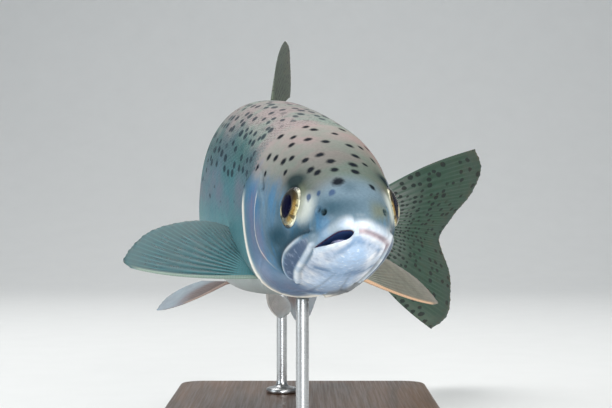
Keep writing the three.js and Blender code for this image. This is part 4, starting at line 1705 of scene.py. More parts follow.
@dataclass(kw_only=True)
class PairedFin(Fin):
    """A pectoral or pelvic fin, its rays fanned between a leading and a trailing direction."""

    root: Triple  # leading end of the root, as s, distance to the fish's right and up
    root_end: Triple
    lead: Triple  # leading direction, as right, back and up
    trail: Triple
    curl: float  # how far the leading rays start bent back, in degrees
    narrowing: float = 0.25

    def __post_init__(self) -> None:
        """Works out the fan of the rays."""
        _, left, back, up = SPINE.at(self.root[0])
        self.ends = [SPINE.bend(np.array([-r, s, h])) / MM for s, r, h in (self.root, self.root_end)]
        self.leading, trailing = (unit(-left * right + back * rear + up * rise)
                                  for right, rear, rise in (self.lead, self.trail))
        self.fan = math.acos(float(self.leading @ trailing))
        self.across = unit(trailing - self.leading * math.cos(self.fan))

    def sheet(self, u: Array, v: Array) -> Array:
        """Place on the fin.

        Args:
            u: shares along the root.
            v: shares outwards.

        Returns:
            Points in metres.
        """
        angle = (self.fan * u - math.radians(self.curl) * (1 - v**2) * (1 - u))[..., None]
        ray = self.leading * np.cos(angle) + self.across * np.sin(angle)
        start = self.ends[0] + (self.ends[1] - self.ends[0]) * u[..., None]
        return (start + ray * self.reach(u, v)[..., None]) * MM


@dataclass(kw_only=True)
class TailFin(Fin):
    """The tail fin, gently forked and bowed."""

    half_height: float = 21.0  # of its root
    spread: float = 27.6  # lean of the outer rays, in degrees
    setback: float = 22.0  # how far ahead of the middle the root's ends lie
    bow: float = 3.2

    def sheet(self, u: Array, v: Array) -> Array:
        """Place on the fin.

        Args:
            u: shares along the root.
            v: shares outwards.

        Returns:
            Points in metres.
        """
        w = 2 * u - 1
        root, reach = STEM_END - self.setback * np.abs(w) ** 3, self.reach(w, v)
        angle = np.radians(self.spread * w)
        up = self.half_height * w + reach * np.sin(angle) + self.bow * w**3 * np.sin(math.pi * v)
        return SPINE.bend(np.stack([np.zeros_like(up), root + reach * np.cos(angle), up], axis=-1))


def all_fins() -> dict[str, list[Fin]]:
    """The fins with their sizes, not built yet.

    Returns:
        The fins by the finish they take.
    """
    pectoral = {"lengths": ((0, 58), (0.06, 63), (0.3, 60), (0.6, 47), (0.85, 33), (1, 23)), "curl": 8,
                "thickness": (4, 0.8), "rays": 14}
    pelvic = {"lengths": ((0, 47), (0.1, 51.5), (0.4, 50), (0.7, 43), (1, 32)), "curl": 10,
              "thickness": (3.4, 0.8), "rays": 10}
    pectoral_right = PairedFin(
        name="pectoral_web_right", node="pectoral_fin_right", root=(102, 25, -33), root_end=(109, 25.5, -26),
        lead=(0.9, 0.44, 0.02), trail=(0.16, 0.82, 0.53), **pectoral)
    pectoral_left = PairedFin(
        name="pectoral_web_left", node="pectoral_fin_left", root=(102, -25, -33), root_end=(109, -25.5, -27),
        lead=(-0.83, 0.48, -0.29), trail=(-0.5, 0.85, 0.12), **pectoral)
    pelvic_right = PairedFin(
        name="pelvic_web_right", node="pelvic_fin_right", root=(233, 11, -46.5), root_end=(243, 7, -48),
        lead=(0.82, 0.34, -0.47), trail=(0.72, 0.69, -0.08), **pelvic)
    pelvic_left = PairedFin(
        name="pelvic_web_left", node="pelvic_fin_left", root=(233, -8, -47), root_end=(243, -5, -48.5),
        lead=(-0.14, 0.9, -0.42), trail=(-0.46, 0.86, -0.24), **pelvic)
    anal = MedianFin(
        name="anal_web", node="anal_fin", start=318, base=45, side=-1, lean=(30, 48), thickness=(4, 0.7),
        rays=12, lengths=((0, 16), (0.12, 38), (0.24, 47), (0.36, 47), (0.7, 33), (1, 20)))
    dorsal = MedianFin(
        name="dorsal_web", node="dorsal_fin", start=204, base=58, lean=(36, 50), thickness=(4.4, 0.7),
        rays=13, lengths=((0, 22), (0.1, 46), (0.2, 57), (0.32, 58), (0.6, 48), (0.85, 36), (1, 27)))
    adipose = MedianFin(
        name="adipose_web", node="adipose_fin", start=349, base=11, lean=(52, 78), thickness=(3.6, 1.8),
        rays=2, lengths=((0, 12), (0.4, 20), (1, 17)), columns=40, rows=18, thin=0.8)
    tail = TailFin(
        name="tail_fin_web", node="tail_fin", thickness=(4.6, 0.8), rays=27, columns=216, rows=40,
        branch_at=0.42, lengths=((-1, 91), (-0.9, 91.5), (-0.6, 76), (-0.45, 68), (-0.17, 52), (0, 47),
                                 (0.35, 57), (0.63, 77), (0.87, 92), (1, 94)))
    # the left pelvic fin takes the paler under finish, partly painted light on a fin in shade
    return {"pectoral": [pectoral_right], "far_pectoral": [pectoral_left], "pelvic": [pelvic_right, anal],
            "under": [pelvic_left], "dorsal": [dorsal, adipose], "tail": [tail]}


# ---------------------------------------------------------------- inside the mouth
@dataclass
class MouthInside:
    """The tongue and the small teeth along the edge of the upper jaw."""

    relief: Relief
    tongue_middle: tuple = (-6.2, 10.0, -7.6)  # x, s and up
    tongue_size: tuple = (2.6, 7.0, 0.9)
    tongue_tilt: float = -14.0  # degrees
    teeth: int = 15
    tooth_size: float = 0.36

    def build(self, tree: NodeTree, flesh: Material, ivory: Material) -> None:
        """Makes the tongue and the teeth.

        Args:
            tree: the scattering tree.
            flesh: finish of the tongue.
            ivory: finish of the teeth.
        """
        self._tongue(flesh)
        self._teeth(tree, ivory)

    def _tongue(self, flesh: Material) -> None:
        """Makes the tongue: an egg with a groove along its top.

        Args:
            flesh: its finish.
        """
        rings, columns = 20, 28
        points = []
        for a in np.linspace(0.06, math.pi - 0.06, rings):
            turn = turns(columns)
            groove = 0.25 * np.exp(-((turn - math.pi / 2) / 0.35) ** 2)
            ring = np.stack([np.cos(turn) * math.sin(a), np.full(columns, -math.cos(a)),
                             np.sin(turn) * math.sin(a) * (1 - groove)], axis=1)
            points.append(ring)
        points.append(np.array([[0, -1, 0.0], [0, 1, 0.0]]))
        form = np.vstack(points) * np.array(self.tongue_size)
        tilt = math.radians(self.tongue_tilt)
        form = np.stack([form[:, 0], form[:, 1] * math.cos(tilt) - form[:, 2] * math.sin(tilt),
                         form[:, 1] * math.sin(tilt) + form[:, 2] * math.cos(tilt)], axis=1)
        faces = [face[::-1] for face in ring_faces(rings, columns, poles=True)]
        new_piece("tongue", SPINE.bend(form + np.array(self.tongue_middle)), faces, flesh, "mouth")

    def _teeth(self, tree: NodeTree, ivory: Material) -> None:
        """Makes the teeth along the gape.

        Args:
            tree: the scattering tree.
            ivory: their finish.
        """
        along_gape = np.linspace(0.16, 0.78, self.teeth)
        line = np.array(self.relief.mouth_right)[::-1]
        share = along_gape * (len(line) - 1)
        at = np.stack([np.interp(share, np.arange(len(line)), line[:, i]) for i in range(3)], axis=1)
        gape = np.interp(-at[:, 0], *np.array(self.relief.gape).T)
        roots = at + np.stack([np.zeros(self.teeth), np.full(self.teeth, 1.3), gape * 0.86], axis=1)
        rise, lie = np.tile([0.0, 0.12, -1.0], (self.teeth, 1)), np.tile([0.0, 1.0, 0.0], (self.teeth, 1))
        seed = new_mesh("tooth_roots", SPINE.bend(roots), rise=rise, lie=lie,
                        size=np.full((self.teeth, 3), self.tooth_size))
        form = bpy.data.objects.new("tooth_form", self._tooth())
        grow(seed, tree, "teeth", "mouth", ivory, Piece=form, Size_Spread=0.2, Seed=TOOTH_SEED)

    @staticmethod
    def _tooth() -> Mesh:
        """One pointed tooth about 1 mm tall, its tip bent back.

        Returns:
            Its mesh, standing along +z.
        """
        columns = 8
        rings = ((0.30, -0.4, 0), (0.28, 0.2, 0), (0.19, 0.5, 0.05), (0.09, 0.75, 0.14))
        points = [(radius * math.cos(a), radius * math.sin(a) + bow, height)
                  for radius, height, bow in rings for a in turns(columns)]
        count = len(points)
        last = count - columns
        faces = grid_faces(len(rings), columns, wrap=True)
        faces += [(last + k, last + (k + 1) % columns, count) for k in range(columns)]
        faces.append(tuple(reversed(range(columns))))
        return new_mesh("tooth_form", np.array(points + [(0, 0.2, 0.88)]) * MM, faces=faces)


# ---------------------------------------------------------------- display stand
@dataclass
class Stand:
    """A bevelled wooden base and two turned steel rods with flanged feet."""

    length: float = 0.260
    width: float = 0.150
    height: float = 0.016
    corner: float = 0.014
    edge: float = 0.0022
    rod_radius: float = 0.003
    foot_radius: float = 0.009
    foot_height: float = 0.004
    foot_bottom: float = 0.0163

    def _outline(self, inset: float) -> Array:
        """The base's rounded outline.

        Args:
            inset: how far it is drawn in.

        Returns:
            Its points.
        """
        corner = max(self.corner - inset, 0.001)
        x, y = self.width / 2 - inset - corner, self.length / 2 - inset - corner
        points = []
        for cx, cy, start in ((x, y, 0), (-x, y, 90), (-x, -y, 180), (x, -y, 270)):
            for a in np.radians(np.linspace(start, start + 90, 13)):
                points.append((cx + corner * math.cos(a), cy + corner * math.sin(a)))
        return np.array(points)

    def build_base(self, material: Material) -> None:
        """Makes the base.

        Args:
            material: its finish.
        """
        profile = [(0.003, 0.0), (0.0004, 0.0), (0.0, 0.0006), (0.0, self.height - self.edge)]
        for a in np.radians(np.linspace(15, 90, 6)):
            profile.append((self.edge * (1 - math.cos(a)), self.height - self.edge * (1 - math.sin(a))))
        profile += [(0.006, self.height), (0.02, self.height)]
        count = len(self._outline(0))
        points = np.vstack([np.column_stack([self._outline(inset), np.full(count, z)])
                            for inset, z in profile])
        base = new_piece("base_board", points, ring_faces(len(profile), count), material, "base_wood")
        flat = base.data.polygons
        flat[len(flat) - 1].use_smooth = False
        flat[len(flat) - 2].use_smooth = False
        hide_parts("stand_base")

    def build_rod(self, name: str, node: str, material: Material) -> None:
        """Makes one rod where the CAD has it.

        Args:
            name: the piece's name.
            node: the CAD node it replaces.
            material: its finish.
        """
        low, high = (np.array(corner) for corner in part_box(node))
        x, y = (low[:2] + high[:2]) / 2
        top = float(high[2])
        foot, thin, bottom, tall = self.foot_radius, self.rod_radius, self.foot_bottom, self.foot_height
        profile = [  # radius and height: the foot's flange, its neck, the rod and its rounded end
            (foot - 0.0002, bottom), (foot, bottom + 0.0003), (foot, bottom + tall * 0.45),
            (foot - 0.0003, bottom + tall * 0.6), (foot - 0.0012, bottom + tall * 0.72),
            (thin + 0.0022, bottom + tall * 0.86), (thin + 0.0008, bottom + tall),
            (thin + 0.0002, bottom + tall + 0.0012), (thin, bottom + tall + 0.003)]
        profile += [(thin, height) for height in np.linspace(bottom + tall + 0.006, top - 0.001, 10)]
        profile += [(thin - 0.0002, top - 0.0004), (thin - 0.0007, top - 0.00005)]
        columns = 48
        turn = turns(columns)
        points = [np.column_stack([x + radius * np.cos(turn), y + radius * np.sin(turn),
                                   np.full(columns, height)]) for radius, height in profile]
        rod = new_piece(name, np.vstack(points), ring_faces(len(profile), columns), material, "rod_steel")
        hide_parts(node)


# ---------------------------------------------------------------- finishes
# How far light wanders under the surface of soft parts.
SOFT = {"Subsurface_Radius": (0.004, 0.0022, 0.0015), "Subsurface_Scale": 0.5}


def mottle_group() -> NodeTree:
    """Soft uneven patches, for colour and for bumps.

    Returns:
        A group that gives the patches and a finer grain.
    """
    n = Group("Mottle", {"Place": "Vector", "Scale": "Float", "Contrast": "Float"},
              {"Value": "Float", "Fine": "Float"})
    place, scale, contrast = n.given[:3]
    patches = n.plus(n.swing(n.noise(place, scale, 4), contrast), 0.5, clamp=True)
    return n.finish(Value=patches, Fine=n.noise(place, n.times(scale, 7.0), 2))


@dataclass(frozen=True)
class TroutColours:
    """The colours of the trout's skin, in linear light."""

    back: tuple = (0.355, 0.335, 0.315)
    upper: tuple = (0.095, 0.175, 0.19)
    flank: tuple = (0.098, 0.28, 0.335)
    band: tuple = (0.26, 0.21, 0.29)
    green_tint: tuple = (0.70, 1.0, 0.93)
    rose_tint: tuple = (1.12, 0.94, 1.0)
    left_tint: tuple = (0.80, 0.74, 0.66)
    lower: tuple = (0.17, 0.36, 0.40)
    # pale grey: partly the belly's own pale colour, partly painted shade, as the belly lies in shade
    belly: tuple = (0.44, 0.49, 0.49)
    rear: tuple = ((0.08, (0.55, 0.57, 0.54)), (0.24, (0.40, 0.44, 0.42)), (0.50, (0.24, 0.30, 0.285)),
                   (0.70, (0.13, 0.175, 0.145)), (0.90, (0.24, 0.24, 0.195)))  # the same, farther back
    rear_band: tuple = (0.40, 0.17, 0.21)
    spot: tuple = (0.014, 0.030, 0.048)
    head_spot: tuple = (0.009, 0.012, 0.018)
    head_top: tuple = (0.150, 0.170, 0.148)
    nape: tuple = (0.395, 0.335, 0.315)
    snout: tuple = (0.17, 0.25, 0.31)
    cheek: tuple = (0.08, 0.155, 0.21)
    cheek_light: tuple = (0.20, 0.30, 0.385)
    cheek_pink: tuple = (0.21, 0.24, 0.39)
    cover_low: tuple = (0.22, 0.285, 0.40)
    left_cheek: tuple = (0.15, 0.20, 0.19)
    left_light: tuple = (0.40, 0.37, 0.34)
    cover: tuple = (0.05, 0.24, 0.49)
    shade: tuple = (0.022, 0.068, 0.10)
    lip: tuple = (0.84, 0.89, 0.94)
    lip_shade: tuple = (0.56, 0.66, 0.77)
    jaw: tuple = (0.97, 0.97, 0.99)
    jaw_shade: tuple = (0.56, 0.65, 0.78)
    jaw_grain: tuple = (0.40, 0.48, 0.60)
    # colour of the painted shade on the jaw's underside
    jaw_underside_shade: tuple = (0.36, 0.53, 0.76)
    # blue-grey of the jaw's own patch, also used for the painted shadow under the lower lip
    patch: tuple = (0.17, 0.27, 0.42)
    plate: tuple = (0.08, 0.12, 0.20)
    # colour of the painted highlights on the gill covers' edges
    rim: tuple = (1.0, 0.95, 0.85)
    silver: tuple = (0.62, 0.66, 0.61)
    gild: tuple = (0.19, 0.20, 0.115)
    brow: tuple = (0.012, 0.028, 0.034)
    blue: tuple = (0.035, 0.075, 0.17)
    # colour of the painted shade inside the mouth
    mouth: tuple = (0.05, 0.10, 0.26)
    # colour of the painted shade under the head, behind the jaw
    throat: tuple = (0.12, 0.20, 0.22)
    gum: tuple = (0.075, 0.028, 0.050)
    # colour of the painted shade in creases
    crease_shade: tuple = (0.02, 0.032, 0.05)
    blush: tuple = (0.42, 0.17, 0.17)


@dataclass(frozen=True)
class TroutFinish:
    """The finish of skin and scales: countershading, the pink band and the dark spots."""

    colours: TroutColours = TroutColours()
    # Spots, then flecks: pitch in mm, level where they begin, level where they are common, radius and
    # share on the tail.
    spots: tuple = ((7.0, 0.02, 0.5, 0.262, 0.25), (5.0, 0.18, 0.75, 0.215, 0.0))

    def _tint(self, n: Nodes, place: NodeSocket) -> NodeSocket:
        """Patches of green and rose."""
        patches = n.ramp(n.noise(place, 48.0, 4), 0.36, 0.62)
        return n.mix(patches, self.colours.green_tint, self.colours.rose_tint)

    def markings(self) -> NodeTree:
        """The markings that skin and scales share.

        Returns:
            A group from the place on the fish to its colour, its spots and how silvery it is.
        """
        c = self.colours
        n = Group("Trout Markings", {"Trout": "Vector", "Place": "Vector"},
                  {"Colour": "Color", "Spots": "Float", "Silver": "Float"})
        trout, place = n.given[:2]
        s, across, level = n.split(trout)
        height = n.plus(level, n.swing(n.noise(place, 70.0, 4), 0.42))
        share = n.ramp(height, -1.0, 1.0, interpolation="LINEAR")
        # the belly's grey is partly painted shade
        shades = ((0.08, c.belly), (0.24, c.lower), (0.50, c.flank), (0.74, c.upper), (0.93, c.back))
        hidden = n.math("MULTIPLY_ADD", n.ramp(across, 0.0, -20.0), 55.0, s)
        farther = n.ramp(hidden, 150.0, 290.0, (0.0, 0.85))
        patchy = n.ramp(n.noise(place, 42.0, 3), 0.36, 0.62)
        band = n.times(n.ramp(height, -0.34, 0.02), n.ramp(height, 0.42, 0.10))
        band = n.times(band, n.plus(n.times(patchy, 0.5), 0.06))
        colour = n.layers(
            n.colours(share, shades),
            (farther, n.colours(share, c.rear)), (band, n.mix(farther, c.band, c.rear_band)))
        colour = n.mix(n.ramp(height, -0.6, 0.5, (0.1, 0.7)), colour, self._tint(n, place), "MULTIPLY")
        colour = n.mix(n.ramp(across, -6.0, -34.0, (0.0, 0.5)), colour, c.left_tint, "MULTIPLY")
        fine = n.mix(n.noise(place, 900.0, 2), (0.25, 0.28, 0.30), (0.9, 0.9, 0.88))
        colour = n.mix(0.22, colour, fine, "SOFT_LIGHT")

        ragged = n.times(n.swing(n.noise(place, 620.0, 3), 0.34), 0.3)
        masks = []
        for pitch, low, high, radius, tail in self.spots:
            inside, luck = n.cells(trout, (0.8 / pitch, 1.15 / pitch, 0.0), 0.72, radius - 0.055, 0.11,
                                   ragged)
            chance = n.plus(n.ramp(level, low - 0.3, high, (0.0, 0.80)),
                            n.times(n.ramp(s, 300.0, 420.0), tail))
            masks.append(n.times(n.ramp(inside, -0.07, 0.07), n.ramp(n.minus(chance, luck), -0.02, 0.05)))
        spots = n.times(n.most(masks[0], n.times(masks[1], 0.22)), n.ramp(s, 93.0, 101.0))
        return n.finish(Colour=n.mix(n.times(spots, 0.86), colour, c.spot), Spots=spots,
                        Silver=n.times(n.ramp(height, 0.85, 0.0), 0.45))

    def skin(self, markings: NodeTree, mottle: NodeTree) -> Material:
        """The bare skin.

        Args:
            markings: the shared markings group.
            mottle: the shared mottle group.

        Returns:
            The material.
        """
        c = self.colours
        n = Paint("trout_skin", Roughness=0.36, Coat_Roughness=0.16, Specular_IOR_Level=0.01)
        place, trout = n.place(), n.attribute("place")
        s, across, level = n.split(trout)
        m = SimpleNamespace(**{name: value for label, names in MARKS.items()
                               for name, value in zip(names, n.split(n.attribute(label)))})
        pattern = n.group(markings, Trout=trout, Place=place)
        soft, fine = n.group(mottle, Place=place, Scale=130.0, Contrast=2.2)
        broad = n.group(mottle, Place=place, Scale=55.0, Contrast=2.6)["Value"]
        streak = n.noise(n.scaled(place, (170.0, 170.0, 42.0)), 1.0, 4)
        grains = n.noise(place, 430.0, 3)
        ragged = n.swing(n.noise(place, 600.0, 3), 0.7)
        dark = n.times(n.ramp(n.plus(m.spot, ragged), 1.42, 0.55), 0.97)

        top = n.mix(0.5, n.mix(n.ramp(s, 24.0, 92.0), c.head_top, c.nape), self._tint(n, place), "MULTIPLY")
        top = n.mix(n.ramp(s, 27.0, 13.0), top, c.snout)
        top = n.mix(n.ramp(across, -2.0, -22.0, (0.0, 0.5)), top, c.left_tint, "MULTIPLY")
        side = n.layers(c.cheek, (broad, c.cheek_light), (n.ramp(streak, 0.40, 0.64, (0.0, 0.5)), c.cover))
        pale = n.layers(c.jaw_shade,
                        (n.ramp(soft, 0.25, 0.75, (0.12, 0.88)), c.jaw),
                        # painted shade: bluer and darker towards the jaw's underside
                        (n.ramp(level, -0.84, -0.98, (0.0, 0.8)), c.jaw_underside_shade),
                        (n.ramp(grains, 0.44, 0.30, (0.0, 0.8)), c.lip),
                        (n.ramp(grains, 0.50, 0.68, (0.0, 0.55)), c.jaw_grain))
        flushed = n.layers(c.cover,
                           (n.ramp(streak, 0.40, 0.66), c.cheek_pink),
                           (n.ramp(level, 0.15, -0.35, (0.0, 0.75)), c.cover_low))
        leftward = n.times(n.ramp(across, -14.0, -34.0, (0.0, 0.72)), n.ramp(level, 0.6, 0.2))
        speckle = n.ramp(n.noise(place, 300.0, 2), 0.52, 0.72)
        colour = n.layers(
            side,
            (n.ramp(n.plus(level, n.swing(soft, 0.18)), 0.26, 0.66), top),
            # under the head: the pale jaw, then further back the throat's painted shade
            (n.ramp(level, -0.72, -0.92), n.mix(n.ramp(s, 62.0, 80.0), pale, c.throat)),
            (n.times(m.cover, n.ramp(level, 0.55, 0.10)), flushed),
            (leftward, n.mix(broad, c.left_cheek, c.left_light)),
            (n.times(m.shade, 0.88), c.shade),
            (n.times(m.silver, n.ramp(soft, 0.05, 0.40, (0.72, 1.0))), c.silver),
            (n.times(m.gild, 0.75), c.gild),
            (m.jaw, pale),
            # the jaw's own blue-grey patch, and the painted shadow under the lower lip
            (n.times(m.patch, n.ramp(soft, 0.2, 0.6, (0.3, 1.0))), c.patch),
            (n.times(m.plate, 0.93), n.mix(n.times(speckle, 0.25), c.plate, c.jaw_shade)),
            (n.times(m.lip, 0.92), n.mix(n.ramp(soft, 0.3, 0.8), c.lip_shade, c.lip)),
            (n.times(m.sore, 0.55), c.blush),
            (n.times(m.brow, 0.88), c.brow),
            (n.times(m.pink, 0.6), c.blush))
        colour = n.layers(
            n.mix(n.ramp(s, 100.0, 78.0), pattern["Colour"], colour),
            # painted highlight on the edges of the gill covers
            (n.times(m.rim, 1.25, clamp=True), c.rim),
            (dark, c.head_spot),
            (n.times(n.ramp(n.plus(m.blue, ragged), 1.3, 0.5), 0.85), c.blue),
            # painted shade in the creases
            (n.times(m.crease_shade, 0.80), c.crease_shade),
            # painted shade in the nostrils
            (m.hole, c.brow),
            # painted shade inside the mouth, with the gum's red at its edge
            (n.ramp(m.mouth, 0.05, 0.45), n.mix(n.ramp(m.mouth, 0.5, 1.0), c.gum, c.mouth)))
        colour = n.mix(0.35, colour, n.mix(fine, (0.2, 0.2, 0.22), (0.95, 0.95, 0.95)), "SOFT_LIGHT")

        shine = n.times(m.cover, 0.35, n.minus(1.0, m.rim, clamp=True))
        body = n.times(pattern["Silver"], n.ramp(s, 80.0, 97.0), 0.5)
        shine = n.times(n.most(shine, body), n.minus(1.0, m.crease_shade, clamp=True))
        gloss = n.most(n.times(m.wet, 0.75), n.times(m.jaw, 0.35), 0.05)
        gloss = n.times(gloss, n.math("MULTIPLY_ADD", dark, -0.95, 1.0))
        dull = n.most(m.mouth, dark, n.times(n.ramp(level, 0.1, 0.6), n.ramp(s, 14.0, 26.0)))
        rough = n.plus(n.ramp(soft, 0.0, 1.0, (0.34, 0.50)), n.times(dull, 0.45), clamp=True)
        pores = n.plus(n.times(fine, 0.35), n.times(n.noise(place, 2600.0, 2), 0.25))
        return n.set(Base_Color=colour, Metallic=shine, Coat_Weight=gloss, Roughness=rough,
                     Normal=n.bump(n.plus(pores, soft), 0.35, 0.0004))

    def scales(self, markings: NodeTree) -> Material:
        """The scales, with the skin's markings and a shift of tone from scale to scale.

        Args:
            markings: the shared markings group.

        Returns:
            The material.
        """
        n = Paint("trout_scales", Roughness=0.34, Specular_IOR_Level=0.03)
        pattern = n.group(markings, Trout=n.attribute("place"), Place=n.place())
        tone, local = n.attribute("tone", "Fac"), n.attribute("local")
        tip = n.ramp(n.split(local)[1], 0.2, 0.55)
        shade = n.mix(tone, (0.93, 0.935, 0.94), (1.05, 1.05, 1.04))
        colour = n.mix(1.0, pattern["Colour"], shade, "MULTIPLY")
        colour = n.mix(n.times(tip, 0.16), colour, n.mix(0.5, colour, (0.03, 0.05, 0.06)))
        matt = n.minus(1.0, n.times(pattern["Spots"], 0.9))
        silver = n.times(pattern["Silver"], n.math("MULTIPLY_ADD", tone, 0.35, 0.45))
        rings = n.math("SINE", n.times(n.vector("LENGTH", local)["Value"], 60.0))
        return n.set(Base_Color=colour, Metallic=n.times(silver, matt),
                     Roughness=n.ramp(tone, 0.0, 1.0, (0.36, 0.46)), Normal=n.bump(rings, 0.15, 0.00003))


@dataclass(frozen=True)
class FinFinish:
    """The finish of one kind of fin: its web, its leading edge and its spots."""

    name: str
    web: tuple
    root: tuple
    edge: tuple
    tip: tuple
    ray: tuple
    spots: float = 0.0
    clearness: float = 0.34
    edge_width: float = 0.07
    edge_fade: float = 0.9
    rayed: float = 0.55  # how strongly the rays show through the web
    tip_start: float = 0.85

    def _colour(self, n: Nodes, place: NodeSocket) -> tuple[NodeSocket | None, ...]:
        """What web and rays share.

        Args:
            n: writer into the material's tree.
            place: object coordinates.

        Returns:
            The colour, the spots if there are any, the leading edge and the place outwards.
        """
        fin = n.attribute("fin")
        u, v, beat = n.split(fin)  # beat is 1 on a ray and -1 midway between two
        cloud = n.noise(place, 110.0, 4)
        branch = n.ramp(n.math("ABSOLUTE", beat), 0.75, 0.10)
        on_ray = n.mix(n.ramp(v, 0.45, 0.80), n.ramp(beat, -0.2, 0.9), branch)
        outer = n.ramp(n.plus(v, n.times(cloud, 0.2)), self.tip_start, self.tip_start + 0.27)
        colour = n.layers(self.root, (n.ramp(v, 0.05, 0.5), self.web),
                          (n.times(on_ray, n.ramp(v, 0.02, 0.24, (0.0, self.rayed))), self.ray),
                          (n.times(outer, 0.8), self.tip))
        colour = n.mix(n.ramp(cloud, 0.35, 0.7, (0.0, 0.4)), colour, n.mix(0.5, colour, (0.08, 0.10, 0.09)))
        lead = n.times(n.ramp(u, self.edge_width, self.edge_width * 0.35),
                       n.ramp(v, self.edge_fade + 0.1, self.edge_fade))
        if not self.spots:
            return colour, None, lead, v
        ragged = n.swing(n.noise(place, 500.0, 2), 0.22)
        inside, luck = n.cells(fin, (24.0, 12.5, 0.0), 0.6, 0.19, 0.12, ragged)
        there = n.minus(n.ramp(v, 1.0, 0.35, (0.35, 0.85)), luck)
        spots = n.times(n.ramp(inside, -0.06, 0.05), n.ramp(there, -0.05, 0.05), self.spots)
        return colour, spots, lead, v

    def web_material(self) -> Material:
        """The thin sheet, partly clear between its rays.

        Returns:
            The material.
        """
        n = Paint(f"{self.name}_web", Roughness=0.48, Coat_Weight=0.08, Coat_Roughness=0.2,
                  Specular_IOR_Level=0.25, Subsurface_Weight=0.12, **SOFT)
        place = n.place()
        colour, spots, lead, v = self._colour(n, place)
        colour = n.mix(lead, colour, self.edge)
        solid = n.most(lead, n.ramp(v, 0.30, 0.02))
        if spots is not None:
            colour = n.mix(n.times(spots, 0.9), colour, (0.015, 0.022, 0.022))
            solid = n.most(solid, spots)
        cloud = n.noise(place, 260.0, 3)
        clear = n.ramp(cloud, 0.3, 0.7, (1 - self.clearness * 1.2, 1 - self.clearness * 0.8))
        ripple = n.add("ShaderNodeTexWave", wave_type="BANDS", bands_direction="Y", Vector=n.attribute("fin"),
                       Scale=14.0, Distortion=1.5).outputs["Fac"]
        return n.set(Base_Color=colour, Alpha=n.math("MAXIMUM", clear, solid, clamp=True),
                     Normal=n.bump(n.plus(n.times(ripple, 0.3), cloud), 0.3, 0.0003))

    def ray_material(self) -> Material:
        """The bony rays, jointed across.

        Returns:
            The material.
        """
        n = Paint(f"{self.name}_rays", Roughness=0.52, Specular_IOR_Level=0.25)
        place = n.place()
        base, spots, lead, v = self._colour(n, place)
        joints = n.math("SINE", n.times(v, 330.0))
        colour = n.layers(base, (0.72, self.ray), (lead, self.edge),
                          (n.ramp(joints, 0.6, 1.0, (0.0, 0.28)), (0.10, 0.10, 0.09)))
        if spots is not None:
            colour = n.mix(n.times(spots, 0.85), colour, (0.02, 0.027, 0.027))
        rough = n.ramp(n.noise(place, 700.0, 2), 0.3, 0.7, (0.32, 0.5))
        return n.set(Base_Color=colour, Roughness=rough, Normal=n.bump(joints, 0.25, 0.00006))


@dataclass(frozen=True)
class EyeFinish:
    """The finish of the eyeballs and of their clear fronts."""

    olive: tuple = (0.17, 0.19, 0.155)
    gold: tuple = (0.38, 0.235, 0.06)
    brown: tuple = (0.022, 0.017, 0.012)
    crescent: tuple = (0.80, 0.72, 0.42)
    pupil: tuple = (0.0006, 0.001, 0.014)
    rim: tuple = (0.02, 0.025, 0.03)
    warm_rim: tuple = (0.84, 0.81, 0.62)

    def ball(self) -> Material:
        """The iris, the pupil and the dark rim.

        Returns:
            The material.
        """
        n = Paint("eye_iris", Roughness=0.4, Specular_IOR_Level=0.04)
        place, iris = n.place(), n.attribute("iris")
        out, back, up = n.split(iris)
        grain = n.noise(place, 1500.0, 4)
        cloud = n.noise(place, 300.0, 3)
        rays = n.noise(n.scaled(iris, (0.9, 5.5, 5.5)), 1.0, 3)
        ragged = n.swing(cloud, 0.9)
        front = n.ramp(n.plus(back, ragged), 0.1, -0.75)
        low = n.ramp(up, 0.1, -0.9)
        golden = n.most(n.times(front, n.ramp(out, 0.06, 0.26)),
                        n.times(low, n.ramp(out, 0.62, 0.95, (0.0, 0.6))))
        streaks = n.most(n.ramp(rays, 0.48, 0.64), n.ramp(grain, 0.50, 0.72))
        ring = n.times(n.ramp(out, 0.10, 0.02), n.ramp(n.minus(ragged, back), -0.2, 0.7))
        corner = n.times(n.ramp(n.minus(back, n.times(up, 0.5)), 0.98, 1.11), n.ramp(out, 0.46, 0.10))
        warm = n.times(n.ramp(back, -0.15, -0.6), n.ramp(cloud, 0.35, 0.6, (0.4, 1.0)))
        inside = n.ramp(out, 0.01, -0.03)
        colour = n.layers(
            self.olive,
            (n.times(front, n.ramp(out, 0.30, 0.10, (0.0, 0.7))), self.brown),
            (golden, self.gold),
            (n.times(front, n.ramp(out, 0.60, 0.85, (0.0, 0.85))), self.crescent),
            # painted shade of the brow over the iris's upper part
            (n.times(n.ramp(n.plus(up, ragged), -0.05, 0.75), 0.9), self.brown),
            (n.times(streaks, 0.8), self.brown),
            (n.times(n.ramp(back, 0.0, 0.7), 0.85), self.brown),
            (n.times(ring, 0.25), self.gold),
            (n.times(corner, 0.9), self.crescent),
            (n.ramp(out, 0.92, 1.10), n.mix(warm, self.rim, self.warm_rim)),
            (inside, self.pupil))
        metallic = n.times(n.minus(1.0, inside, clamp=True), n.ramp(out, 1.05, 0.7, (0.0, 0.35)))
        bumps = n.times(grain, n.ramp(out, -0.02, 0.05))
        return n.set(Base_Color=colour, Metallic=metallic, Roughness=n.ramp(grain, 0.2, 0.8, (0.22, 0.45)),
                     Normal=n.bump(bumps, 0.35, 0.00015))

    def cornea(self) -> Material:
        """Clear, wet, and letting light through to the iris.

        Returns:
            The material.
        """
        n = Paint("eye_cornea", Roughness=0.02, IOR=1.15, Transmission_Weight=1.0,
                  Base_Color=(0.98, 0.99, 1.0))
        clear = n.add("ShaderNodeBsdfTransparent")
        mixed = n.add("ShaderNodeMixShader")
        shadow = n.add("ShaderNodeLightPath").outputs["Is Shadow Ray"]
        n.feed_all(mixed, shadow, n.shader.outputs[0], clear.outputs[0])
        n.fill(n.tree.nodes["Material Output"], Surface=mixed.outputs[0])
        return n.set(Normal=n.bump(n.noise(n.place(), 300.0, 2), 0.03, 0.0002))


